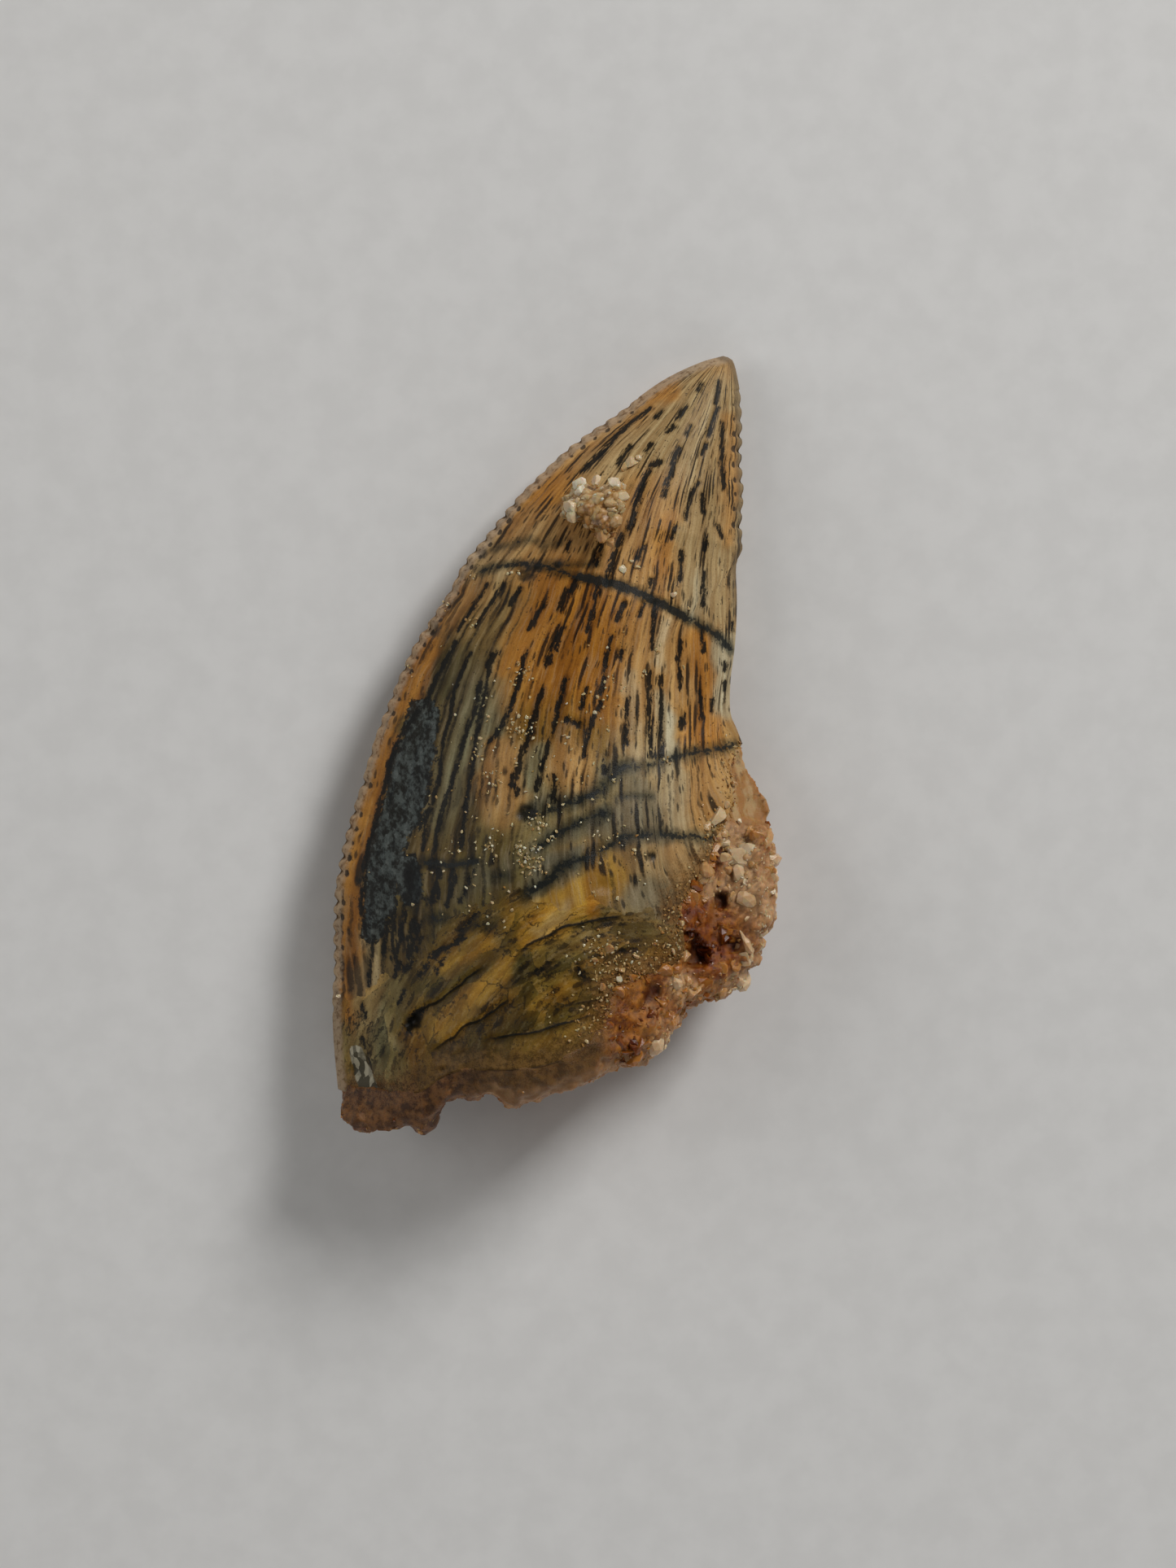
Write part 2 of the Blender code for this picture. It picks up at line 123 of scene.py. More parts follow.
# Manganese streaks along the flow of the enamel: width, points
STREAKS = [
    (0.15, [(5.01, 11.07), (4.91, 10.38)]),
    (0.15, [(4.96, 10.25), (4.66, 9.38)]),
    (0.15, [(5.11, 9.75), (5.09, 8.62), (5.14, 7.75)]),
    (0.15, [(4.59, 9.07), (4.49, 8.8)]),
    (0.125, [(4.46, 11), (4.36, 10.8)]),
    (0.225, [(3.96, 10.25), (3.74, 9.88)]),
    (0.15, [(3.61, 9.62), (3.41, 9.45)]),
    (0.15, [(4.11, 9.62), (3.99, 9.38)]),
    (0.15, [(3.24, 10.12), (3.09, 9.93)]),
    (0.15, [(2.91, 10.25), (2.41, 9.88), (1.84, 9.38), (1.54, 9), (1.04, 8.5), (0.79, 8.25)]),
    (0.2, [(2.29, 9), (2.11, 8.8), (1.91, 8.45)]),
    (0.125, [(2.91, 9.07), (2.74, 8.85)]),
    (0.2, [(3.76, 8.93), (3.54, 8.38), (3.41, 7.88), (3.29, 7.45)]),
    (0.175, [(3.16, 8.5), (2.91, 8.38)]),
    (0.225, [(2.84, 8.25), (2.59, 7.62), (2.34, 6.75), (2.16, 6.38), (1.91, 6), (1.66, 5.25), (1.54, 4.75)]),
    (0.125, [(4.36, 7.88), (4.16, 7.5), (3.96, 6.75)]),
    (0.125, [(4.46, 7.5), (4.51, 7)]),
    (0.175, [(3.66, 6.5), (3.51, 6.17)]),
    (0.125, [(4.91, 6.62), (5.09, 6.25)]),
    (0.175, [(4.59, 6.25), (4.54, 5.83)]),
    (0.175, [(2.66, 5.88), (2.49, 5.5)]),
    (0.175, [(1.41, 6), (1.29, 5.62), (1.21, 5.33)]),
    (0.1, [(0.41, 6.12), (0.36, 5.75)]),
    (0.125, [(3.84, 5.75), (3.76, 4.88)]),
    (0.125, [(4.54, 5.12), (4.49, 4.12)]),
    (0.125, [(2.91, 4.88), (2.84, 4.62)]),
    (0.35, [(0.66, 4.88), (0.29, 4.38), (0.16, 4)]),
    (0.175, [(1.29, 4.62), (1.16, 4), (0.96, 3.3)]),
    (0.2, [(2.04, 4.12), (1.84, 3.62)]),
    (0.1, [(2.66, 4.12), (2.54, 3.75)]),
    (0.1, [(2.99, 4.12), (2.91, 2.75)]),
    (0.125, [(4.46, 3.38), (4.51, 2.75)]),
    (0.125, [(3.79, 3), (3.71, 2.5), (3.79, 1.62)]),
    (0.175, [(-0.34, 4.12), (-0.59, 3.8), (-0.79, 3.38)]),
    (0.35, [(0.16, 3.38), (0.04, 3), (-0.21, 2.3)]),
    (0.125, [(1.71, 3.12), (1.59, 2.75), (1.41, 1.75), (1.36, 1.38)]),
    (0.3, [(1.96, 2.7), (1.94, 2.5)]),
    (0.175, [(-0.84, 2.67), (-0.96, 2.45)]),
    (0.2, [(-1.79, 2.67), (-2.09, 2.2)]),
    (0.175, [(-0.96, 2.25), (-1.21, 1.5), (-1.54, 0.62), (-1.96, -0.05)]),
    (0.3, [(-2.29, 1.6), (-2.31, 1.5)]),
    (0.2, [(-0.39, 1.5), (-0.66, 0.5)]),
    (0.175, [(0.34, 1.88), (0.16, 1.25), (-0.09, 0.25), (-0.34, -0.62), (-0.59, -1.55)]),
    (0.175, [(0.91, 1.5), (0.76, 0.95)]),
    (0.225, [(0.36, 0.6), (0.71, 0.45)]),
    (0.175, [(1.34, 1.12), (1.09, 0.5), (0.96, 0.12), (0.86, -0.5)]),
    (0.2, [(-0.71, 0.25), (-0.96, -0.38), (-1.34, -1.38)]),
    (0.2, [(-1.16, -1.5), (-1.19, -1.7)]),
    (0.15, [(1.46, -0.38), (1.46, -1)]),
    (0.15, [(2.16, 1.25), (2.11, -0.12)]),
    (0.2, [(2.86, 2), (2.81, 1), (2.91, -0.5)]),
    (0.175, [(3.16, 1.88), (3.21, -0.5)]),
    (0.225, [(3.86, 0.75), (3.86, 0.38)]),
    (0.15, [(4.39, 1.5), (4.46, 0.62)]),
    (0.1, [(4.79, 1.25), (4.76, 0.88)]),
    (0.175, [(5.19, 2.33), (5.19, 2.15)]),
    (0.175, [(5.19, 1.77), (5.19, 1.57)]),
    (0.15, [(5.41, 3.6), (5.41, 3.4)]),
    (0.14, [(-2.29, 1.72), (-2.45, 0.90), (-2.80, -0.12), (-3.00, -0.83), (-3.26, -1.65)]),
    (0.16, [(-3.26, -1.65), (-3.52, -2.47), (-3.67, -3.28), (-3.82, -3.89)]),
    (0.10, [(-2.60, 2.64), (-3.01, 1.72), (-3.21, 0.80), (-3.41, -0.02), (-3.52, -1.03)]),
    (0.14, [(-3.52, -1.03), (-3.72, -1.85), (-3.93, -2.47), (-4.03, -3.28)]),
    (0.14, [(-1.94, 2.64), (-2.09, 1.72), (-2.29, 0.70), (-2.45, -0.12), (-2.50, -0.83)]),
    (0.17, [(-2.50, -0.83), (-2.65, -1.65), (-2.75, -2.47), (-2.85, -3.28)]),
    (0.22, [(-0.46, 1.31), (-0.66, 0.70), (-0.86, -0.02), (-1.07, -0.63), (-1.27, -1.34)]),
    (0.30, [(-0.05, -1.14), (-0.05, -1.85)]),
    (0.12, [(-3.57, -3.89), (-3.52, -4.80)]),
    (0.25, [(-3.93, -4.80), (-3.62, -4.90)]),
    (0.15, [(-4.59, -5.22), (-4.74, -6.24)]),
    (0.10, [(-4.89, -5.32), (-4.95, -5.93), (-5.00, -6.65)]),
    (0.15, [(-4.29, -5.53), (-4.49, -6.55)]),
    (0.12, [(-3.10, -3.90), (-3.20, -4.70)]),
    (0.50, [(-4.45, -4.00), (-4.39, -4.50)]),
    (0.125, [(-2.14, 4.75), (-2.59, 4), (-3.01, 3.38)]),
    (0.125, [(-1.59, 4.75), (-2.09, 4.05), (-2.46, 3.5)]),
    (0.15, [(-1.09, 4.62), (-1.39, 4.12)]),
    (0.175, [(-5.09, -5.5), (-5.24, -6.5)]),
    (0.125, [(-5.54, -6), (-5.71, -7.5)]),
    (0.125, [(-4.59, -5.25), (-4.89, -6.75)]),
    (0.15, [(-4.09, -5.5), (-4.46, -6.62)]),
    (0.125, [(-3.46, -4), (-3.84, -5)]),
    (0.125, [(-2.96, -4), (-3.29, -5)]),
    (0.15, [(-2.46, -3.88), (-2.84, -4.88)]),
    (0.2, [(-4.21, 0.88), (-4.59, 0.38), (-5.04, -0.5), (-5.29, -1.5), (-5.54, -2.5)]),
    (0.15, [(-5.54, -2.5), (-5.84, -3.75), (-5.96, -5), (-5.84, -5.75)]),
    (0.2, [(-3.09, 3), (-3.59, 2), (-4.04, 1)]),
    (0.25, [(-3.76, -6.55), (-3.46, -6.33), (-3.09, -6.18), (-2.79, -5.95)]),
    (0.12, [(-2.84, -5.75), (-2.34, -5.2)]),
    (0.20, [(-4.59, -7.0), (-4.29, -6.7)]),
    (0.12, [(-4.21, -6.38), (-4.04, -5.95)]),
    (0.20, [(-4.46, -6.0), (-4.29, -5.45)]),
    (0.15, [(-4.09, -7.13), (-3.84, -6.75)]),
    (0.15, [(-3.59, -7.0), (-3.39, -6.63)]),
    (0.35, [(-4.45, -8.75), (-4.29, -8.45), (-4.04, -8.18)]),
    (0.10, [(-5.96, -8.0), (-5.79, -8.5)]),
    (0.10, [(-5.91, -9.1), (-5.86, -9.35)]),
    (0.15, [(-0.59, -7.0), (-0.39, -6.88)]),
    (0.20, [(0.71, -6.88), (0.96, -7.2)]),
    (0.15, [(1.91, -6.38), (2.41, -6.33)]),
    (0.20, [(1.54, -7.4), (1.9, -7.5)]),
    (0.15, [(-4.9, -7.2), (-4.75, -6.8)]),
    (0.12, [(-4.75, -8.0), (-4.55, -7.5)]),
]

# Blue-black bands across the crown: width, how solid each one is, points
BANDS = [
    (0.10, 0.9, [(-2.34, 5.17), (-1.84, 5.3), (-1.09, 5.38), (-0.59, 5.33), (-0.01, 5.17), (0.66, 4.95)]),
    (0.14, 1.2, [(0.66, 4.95), (1.66, 4.75), (2.54, 4.45), (2.91, 4.25), (3.41, 4.05), (3.91, 3.75)]),
    (0.12, 1.0, [(3.91, 3.75), (4.91, 3.23), (5.34, 2.83)]),
    (0.08, 0.7, [(-0.59, 5.38), (0.16, 5.33), (1.29, 5.28)]),
    (0.08, 0.7, [(-1.96, 5.88), (-1.09, 6.08), (-0.59, 6.12)]),
    (0.10, 0.7, [(-0.46, 5.88), (0.16, 6.03)]),
    (0.34, 0.85, [(5.41, -0.17), (4.91, -0.28), (4.04, -0.42), (3.41, -0.62), (2.91, -0.78), (2.04, -0.8)]),
    (0.40, 0.85, [(2.04, -0.8), (1.41, -1.45), (1.04, -1.7), (0.54, -1.88), (-0.09, -2.08), (-0.89, -2.2)]),
    (0.36, 0.85, [(1.54, -2.2), (0.91, -2.38), (0.41, -2.65), (0.04, -2.8), (-0.46, -3.25)]),
    (0.08, 0.6, [(1.91, -1.7), (2.91, -1.7)]),
    (0.34, 0.85, [(4.71, -3), (4.16, -2.95), (2.91, -2.88), (2.04, -2.95), (1.54, -3.25), (0.79, -3.62)]),
    (0.36, 0.90, [(0.79, -3.62), (0.16, -3.8), (-0.09, -4.12), (-0.46, -4.38), (-0.84, -4.62)]),
    (0.08, 1.0, [(-3.96, -3.70), (-3.21, -3.78), (-2.34, -3.64)]),
    (0.40, 0.8, [(-4.29, -3.8), (-4.24, -4.38), (-4.44, -5)]),
    (0.30, 0.8, [(-3.71, -5.38), (-3.34, -5.38)]),
    (0.30, 0.8, [(-2.46, -5.62), (-2.09, -5.62)]),
    (0.25, 0.8, [(-1.84, -4.12), (-1.46, -4.12)]),
]

# Where the fibres are drawn as close black lines
COMBED = [(-2.6, 3.2), (-3.0, 1.0), (-3.2, -1.0), (-3.5, -3.0), (-4.2, -5.0), (-5.0, -6.6)]
COMBED_REACH = 1.2

# The mottled slate-grey patch beside the front edge: width, points
SLATE = [
    (0.95, [(-4.05, 0.80), (-4.18, -0.20)]),
    (1.40, [(-4.24, -0.33), (-4.49, -1.18), (-4.66, -2.25)]),
    (1.15, [(-4.75, -2.30), (-5.14, -3.13), (-5.24, -4.00)]),
    (0.95, [(-5.24, -4.00), (-5.39, -5.00)]),
    (0.50, [(-5.39, -5.00), (-5.59, -5.83)]),
    (0.60, [(-4.50, -3.90), (-4.39, -4.60)]),
]

# Smooth fields with hardly a mark on them: width, points
CLEAN = [
    (0.42, [(-0.8, -5.9), (0.1, -5.2), (0.9, -4.9)]),
    (0.90, [(-0.60, -5.30), (0.40, -4.80), (1.10, -4.45)]),
    (0.40, [(-3.20, -6.90), (-2.40, -6.10)]),
    (0.35, [(-2.30, -7.70), (-1.46, -6.80)]),
    (0.40, [(-3.40, -8.80), (-2.70, -8.10)]),
    (0.40, [(-0.60, -9.20), (1.20, -8.60)]),
]

# The glassy chip at the front base corner: width, points
CHIP = [(0.40, [(-6.10, -9.55), (-5.90, -10.15)]), (0.55, [(-5.90, -10.15), (-5.72, -10.60)])]

# How soft the edges of the drawn marks are, and how deep the marks and the surface's own waves go
STREAK_SOFTNESS = 0.12
BAND_SOFTNESS = 0.24
FIELD_SOFTNESS = 0.30
STREAK_DEPTH = 0.018
BAND_DEPTH = 0.010
SLIT_DEPTH = 0.07
FLUTE_DEPTH = 0.018
LOW_FLUTE_DEPTH = 0.022
WAVE_DEPTH = 0.05
UNDER_FLUTE_DEPTH = 0.02
WAVES_FADE = 0.8

# The enamel's own colours, and where each one shows: colour, reach, points
CREAM = (0.42, 0.290, 0.130)
IVORY = (0.48, 0.40, 0.240)
TAN = (0.47, 0.255, 0.080)
ORANGE = (0.46, 0.195, 0.028)
DEEP_ORANGE = (0.33, 0.125, 0.011)
OCHRE = (0.185, 0.098, 0.015)
KHAKI = (0.235, 0.165, 0.058)
OLIVE = (0.115, 0.080, 0.019)
YELLOW = (0.42, 0.235, 0.036)
DARK_OLIVE = (0.062, 0.050, 0.016)
SAGE = (0.215, 0.190, 0.098)
GREY = (0.215, 0.175, 0.098)
SMOKE = (0.100, 0.096, 0.064)
ZONES = [
    (TAN, 0.5, [(4.8, 11.6), (5.2, 11.7)]),
    (CREAM, 1.2, [(4.9, 11.0), (4.6, 9.0), (4.8, 6.5)]),
    (ORANGE, 0.32, [(0.5, 8.85), (1.9, 9.95), (3.6, 11.0)]),
    (ORANGE, 0.28, [(5.15, 9.9), (5.30, 7.3), (5.35, 6.0)]),
    (CREAM, 0.9, [(2.6, 9.4), (1.2, 8.6)]),
    (TAN, 0.8, [(2.0, 9.8), (0.4, 8.6)]),
    (ORANGE, 0.7, [(0.4, 8.3), (-0.6, 7.6), (-1.5, 6.4)]),
    (TAN, 0.9, [(3.0, 7.4), (2.6, 6.2), (2.4, 5.2)]),
    (ORANGE, 0.5, [(3.3, 6.6), (3.2, 5.4)]),
    (CREAM, 0.8, [(4.6, 5.4), (4.8, 4.2)]),
    (CREAM, 0.7, [(-1.0, 6.6), (-1.8, 5.8)]),
    (TAN, 0.8, [(0.3, 6.3), (-0.8, 5.7)]),
    (TAN, 0.6, [(-2.4, 4.4), (-3.0, 3.6)]),
    (KHAKI, 0.7, [(-1.6, 4.3), (-2.6, 3.0)]),
    (ORANGE, 1.0, [(-0.4, 4.4), (-0.6, 3.0), (-0.8, 2.0)]),
    (DEEP_ORANGE, 1.0, [(0.6, 4.0), (0.4, 2.6), (0.3, 1.2)]),
    (DEEP_ORANGE, 0.8, [(1.8, 3.6), (1.5, 2.2), (1.6, 1.0)]),
    (TAN, 0.7, [(2.8, 3.6), (2.6, 2.2), (2.4, 0.8)]),
    (TAN, 0.6, [(3.6, 3.2), (3.6, 1.6)]),
    (ORANGE, 0.45, [(4.3, 3.0), (4.45, 1.4), (4.6, 0.2)]),
    (IVORY, 0.35, [(5.2, 2.9), (5.1, 1.0)]),
    (OCHRE, 0.7, [(-1.4, 1.2), (-0.4, 0.6)]),
    (SAGE, 0.6, [(-2.4, 2.2), (-2.8, 0.6), (-3.0, -1.0), (-3.3, -2.2)]),
    (SAGE, 0.35, [(-1.75, 1.6), (-1.95, 0.4)]),
    (ORANGE, 0.5, [(-1.3, 2.4), (-1.4, 1.2)]),
    (TAN, 0.6, [(-1.6, -0.6), (-1.8, -2.0)]),
    (SAGE, 0.35, [(-0.5, -0.3), (-0.7, -1.3)]),
    (DARK_OLIVE, 0.45, [(-3.05, 3.1), (-3.45, 1.6)]),
    (TAN, 0.6, [(0.4, -0.2), (0.6, -1.2)]),
    (OCHRE, 0.6, [(0.2, 0.9), (1.4, 0.2)]),
    (CREAM, 0.6, [(2.4, 0.2), (2.6, -0.4)]),
    (KHAKI, 0.6, [(1.4, -1.4), (1.8, -1.2)]),
    (GREY, 0.4, [(2.2, -1.1), (2.5, -2.2)]),
    (IVORY, 0.26, [(3.2, 1.2), (3.35, -0.4)]),
    (IVORY, 0.26, [(2.25, 1.8), (2.35, 0.6)]),
    (IVORY, 0.35, [(3.50, -1.0), (3.70, -2.5)]),
    (IVORY, 0.22, [(4.45, 5.0), (4.35, 3.9)]),
    (IVORY, 0.22, [(3.25, 3.6), (3.15, 2.2)]),
    (DEEP_ORANGE, 0.20, [(1.0, -4.3), (1.3, -5.0)]),
    (CREAM, 0.5, [(3.5, -1.2), (3.7, -2.4)]),
    (TAN, 0.6, [(4.7, -0.8), (4.6, -2.2)]),
    (KHAKI, 0.8, [(0.4, -2.2), (-0.8, -2.9)]),
    (GREY, 0.5, [(1.8, -2.4), (3.0, -2.4)]),
    (YELLOW, 0.42, [(-0.9, -6.0), (0.0, -5.3), (0.8, -5.0)]),
    (IVORY, 0.22, [(-0.5, -5.6), (0.4, -5.0)]),
    (CREAM, 0.34, [(-5.85, -6.3), (-5.9, -7.5), (-6.0, -8.4)]),
    (IVORY, 0.34, [(-5.7, -8.5), (-5.6, -9.2), (-5.6, -9.9)]),
    (IVORY, 0.26, [(-5.2, -8.6), (-5.0, -9.2)]),
    (SMOKE, 0.32, [(-0.9, -2.2), (0.5, -1.9), (2.0, -0.9)]),
    (SMOKE, 0.36, [(-0.6, -3.3), (0.4, -2.7), (1.5, -2.3)]),
    (SMOKE, 0.34, [(-0.8, -4.6), (0.2, -3.9), (0.8, -3.7)]),
    (SMOKE, 0.40, [(-2.7, -4.6), (-1.6, -3.9)]),
    (OLIVE, 1.0, [(-2.6, -2.6), (-3.0, -4.4)]),
    (OLIVE, 1.0, [(-1.6, -3.4), (-2.0, -5.0)]),
    (YELLOW, 0.6, [(1.4, -4.2), (0.2, -4.7), (-0.9, -5.3)]),
    (CREAM, 0.6, [(3.0, -3.6), (4.2, -3.6)]),
    (TAN, 0.4, [(3.7, -3.4), (4.4, -4.1)]),
    (GREY, 0.6, [(2.6, -4.6), (3.2, -5.2)]),
    (KHAKI, 0.7, [(2.2, -5.9), (0.8, -6.3)]),
    (OLIVE, 0.9, [(-3.6, -5.6), (-4.0, -7.0)]),
    (OLIVE, 0.7, [(-2.6, -5.6), (-3.0, -6.6)]),
    (YELLOW, 0.5, [(-3.4, -6.7), (-2.4, -6.0)]),
    (OLIVE, 0.8, [(-0.6, -7.0), (0.9, -6.9)]),
    (OCHRE, 0.7, [(1.4, -6.4), (2.6, -6.2)]),
    (TAN, 0.5, [(1.2, -7.0), (2.2, -6.9)]),
    (OCHRE, 0.8, [(-3.4, -8.5), (-1.4, -8.2), (0.6, -7.8)]),
    (YELLOW, 0.28, [(-3.21, -7.0), (-2.34, -6.0)]),
    (YELLOW, 0.26, [(-2.34, -7.8), (-1.46, -6.75), (-1.09, -6.38)]),
    (YELLOW, 0.26, [(-3.50, -8.9), (-2.70, -8.0)]),
    (YELLOW, 0.28, [(-0.71, -7.88), (0.16, -7.38)]),
    (YELLOW, 0.30, [(-0.6, -9.25), (0.6, -8.85), (1.3, -8.5)]),
    (DARK_OLIVE, 0.22, [(-1.05, -6.85), (-0.84, -7.6)]),
    (DARK_OLIVE, 0.30, [(0.41, -7.75), (1.40, -7.9)]),
    (DARK_OLIVE, 0.24, [(-1.2, -8.75), (-0.6, -8.6)]),
    (DARK_OLIVE, 0.22, [(-3.2, -9.85), (-2.4, -9.30)]),
    (DARK_OLIVE, 0.24, [(-3.9, -7.6), (-3.5, -6.9)]),
    (OLIVE, 0.8, [(-2.4, -9.3), (0.2, -8.9)]),
    (OCHRE, 0.6, [(-3.6, -10.2), (-1.0, -9.7), (0.6, -9.3)]),
    (ORANGE, 0.45, [(1.55, -8.3), (1.45, -8.9)]),
    (CREAM, 0.5, [(-5.7, -6.2), (-5.6, -7.6)]),
    (KHAKI, 0.5, [(-4.9, -6.4), (-5.0, -7.8)]),
    (CREAM, 0.35, [(-5.9, -8.4), (-5.8, -9.6)]),
    (OLIVE, 0.45, [(-5.1, -8.0), (-5.2, -9.6)]),
    (SAGE, 0.40, [(-4.95, -7.6), (-5.45, -9.0)]),
    (SAGE, 0.40, [(-5.2, -9.5), (-4.95, -10.3)]),
    (IVORY, 0.24, [(-5.95, -9.7), (-5.75, -10.5)]),
    (OCHRE, 0.5, [(-4.2, -9.2), (-4.0, -10.3)]),
    (ORANGE, 0.30, [(-3.09, 4.6), (-4.09, 2.4), (-4.59, 1.2), (-5.04, 0.35), (-5.34, -0.65)]),
    (ORANGE, 0.30, [(-5.34, -0.65), (-5.9, -2.4), (-6.15, -4.0), (-6.32, -6.0), (-6.40, -8.5)]),
    (OLIVE, 0.60, [(-3.95, 0.75), (-4.09, -0.5), (-4.59, -1.8)]),
    (OLIVE, 0.55, [(-4.59, -1.8), (-5.10, -3.5), (-5.40, -5.25)]),
]
GROUND_WEIGHT = 0.04
ZONE_FADE = 1.6


def spline(points, step=0.25):
    """A smooth Catmull-Rom line through the points, as rows of x and y."""
    p = np.array(points, float)
    p = np.vstack([2 * p[0] - p[1], p, 2 * p[-1] - p[-2]])
    rows = []
    for a, b, c, d in zip(p, p[1:], p[2:], p[3:]):
        count = max(2, math.ceil(np.linalg.norm(c - b) / step))
        t = (np.arange(count) / count)[:, None]
        bend, turn = 2 * a - 5 * b + 4 * c - d, 3 * b - a - 3 * c + d
        curve = 2 * b + (c - a) * t + bend * t**2 + turn * t**3
        rows.append(curve / 2)
    return np.vstack(rows + [p[-2:-1]])


def measure(line, q):
    """For each point q: its distance from the line, the length along the line, and its side (+1 is left)."""
    best, reach, side = np.full(len(q), 1e9), np.zeros(len(q)), np.ones(len(q))
    gone = 0.0
    for a, b in zip(line, line[1:]):
        run = b - a
        size = math.hypot(*run)
        away = q - a
        share = np.clip(away @ run / size**2, 0, 1)
        gap = np.hypot(*(away - share[:, None] * run).T)
        closer = gap < best
        best[closer] = gap[closer]
        reach[closer] = gone + share[closer] * size
        side[closer] = np.sign(run[0] * away[closer, 1] - run[1] * away[closer, 0])
        gone += size
    return best, reach, side


def total(line):
    """A line's whole length."""
    return float(np.hypot(*np.diff(line, axis=0).T).sum())


def at_share(line, share):
    """Points at shares of a line's length."""
    reached = np.concatenate([[0.0], np.cumsum(np.hypot(*np.diff(line, axis=0).T))]) / total(line)
    return np.stack([np.interp(share, reached, line[:, k]) for k in (0, 1)], -1)


def brush(q, strokes, softness):
    """1 on the strokes' middle lines, 0 at their width plus the softness, for each point q."""
    field = np.zeros(len(q))
    for width, points in strokes:
        line = spline(points) if len(points) > 2 else np.array(points, float)
        reach = width / 2 + softness
        low, high = line.min(0) - reach, line.max(0) + reach
        near = ((q > low) & (q < high)).all(1)
        if near.any():
            field[near] = np.maximum(field[near], 1 - measure(line, q[near])[0] / reach)
    return field


def fractal(p, size, octaves=3):
    """Noise between about -1 and 1 at each point p, with features of the given size."""
    return np.array([noise.fractal(Vector(v), 1.0, 2.0, octaves) for v in p / size])


def smooth(x, low, high):
    """0 at low and 1 at high, smooth between."""
    t = np.clip((x - low) / (high - low), 0, 1)
    return t * t * (3 - 2 * t)


def hill(x, centre, width):
    """1 at the centre, and fading to 0 on both sides."""
    return np.exp(-(((x - centre) / width) ** 2))


front_edge, rear_edge, whole_rear_edge = spline(FRONT_EDGE), spline(REAR_EDGE), spline(WHOLE_REAR_EDGE)
break_line = spline(BREAK_LINE)


def swell(q):
    """Height of the two edges above the floor, and the bulge above and below them."""
    to_front, to_rear = measure(front_edge, q)[0], measure(whole_rear_edge, q)[0]
    width = to_front + to_rear
    share = to_front / np.maximum(width, 1e-6)
    lens = np.maximum(4 * share * (1 - share), 0) ** BULGE_POWER
    bulge = width / (1 + width / BULGE_WIDTH) * lens
    towards_tip = np.clip((q[:, 1] + LENGTH / 2) / LENGTH, 0, 1)
    edge = BASE_EDGE_HEIGHT - TIP_DROP * towards_tip**TIP_DROP_POWER
    return edge, TOP_BULGE * bulge, UNDER_BULGE * bulge


def flow_grid(columns):
    """Points of one face in rows from the tip to the break, each row from the front edge to the rear edge."""
    down = (np.arange(1, ROWS + 1) / ROWS)[:, None, None]
    t = np.arange(columns + 1) / columns
    share = t - 0.05 * np.sin(2 * math.pi * t)
    across = share[None, :, None]
    tip = np.array(FRONT_EDGE[0])
    start, pull, end = (np.array(p) for p in PLAIN_BREAK)
    plain = (1 - across) ** 2 * start + 2 * across * (1 - across) * pull + across**2 * end
    front = at_share(front_edge, down[:, 0, 0])[:, None]
    rear = at_share(rear_edge, down[:, 0, 0])[:, None]
    grid = (1 - down) * tip + down * plain
    grid = grid + (1 - across) * (front - (1 - down) * tip - down * start)
    grid = grid + across * (rear - (1 - down) * tip - down * end)
    grid = grid + down**4 * (at_share(break_line, share)[None] - plain)
    return grid, np.broadcast_to(share, grid.shape[:2])


def slits(length, first_last, seed):
    """How deep the slit between two denticles is at each length along an edge, from 0 to 1."""
    first, last = first_last
    place = (length - first) / DENTICLE_PITCH
    worn = np.array([noise.noise(Vector((k * 1.7, seed, 0.5))) for k in np.round(place)])
    ends = np.clip(np.minimum(length - first, last - length) / 1.5 + 0.3, 0, 1)
    return np.abs(np.cos(math.pi * place)) ** 3 * np.clip(0.85 + 0.9 * worn, 0.25, 1.2) * ends


def cuts(length, distance, first_last, seed):
    """How deep the slits cut at points this far along an edge and this far in from it."""
    on_the_row = (length > first_last[0]) & (length < first_last[1])
    return slits(length, first_last, seed) * on_the_row * np.exp(-distance / DENTICLE_REACH)


def crown_face(columns, upper):
    """x, y, z of one face, with the measures that its relief and its colours need."""
    grid, share = flow_grid(columns)
    q = grid.reshape(-1, 2)
    to_front, front_at, _ = measure(front_edge, q)
    to_rear, rear_at, _ = measure(rear_edge, q)
    cut = cuts(front_at, to_front, FRONT_DENTICLES, FRONT_WEAR)
    cut = cut + cuts(rear_at, to_rear, REAR_DENTICLES, REAR_WEAR)
    steps = np.diff(np.concatenate([np.broadcast_to(FRONT_EDGE[0], grid[:1].shape), grid]), axis=0)
    down = np.hypot(steps[..., 0], steps[..., 1]).cumsum(0).reshape(-1)
    edge, up, under = swell(q)
    across = share.reshape(-1) * FLOW_WIDTH
    flow = np.stack([across, down, np.full_like(down, 0.0 if upper else UNDER_FLOW)], 1)
    middle = grid[:, columns // 2][:, None]
    inward = middle - grid
    inward = (inward / np.maximum(np.hypot(inward[..., 0], inward[..., 1]), 1e-9)[..., None]).reshape(-1, 2)
    q = q + inward * (DENTICLE_DEPTH * cut)[:, None]
    rim = np.sqrt(np.clip(np.minimum(to_front, to_rear) / EDGE_ROUNDING + 0.1, 0, 1))
    facts = {
        "to_front": to_front, "to_rear": to_rear, "front_at": front_at, "rear_at": rear_at,
        "cut": cut, "flow": flow,
    }
    if upper:
        z = edge + EDGE_HALF_THICKNESS * rim + up
    else:
        z = np.maximum(0.0, edge - EDGE_HALF_THICKNESS * rim - under)
    return q, z, facts


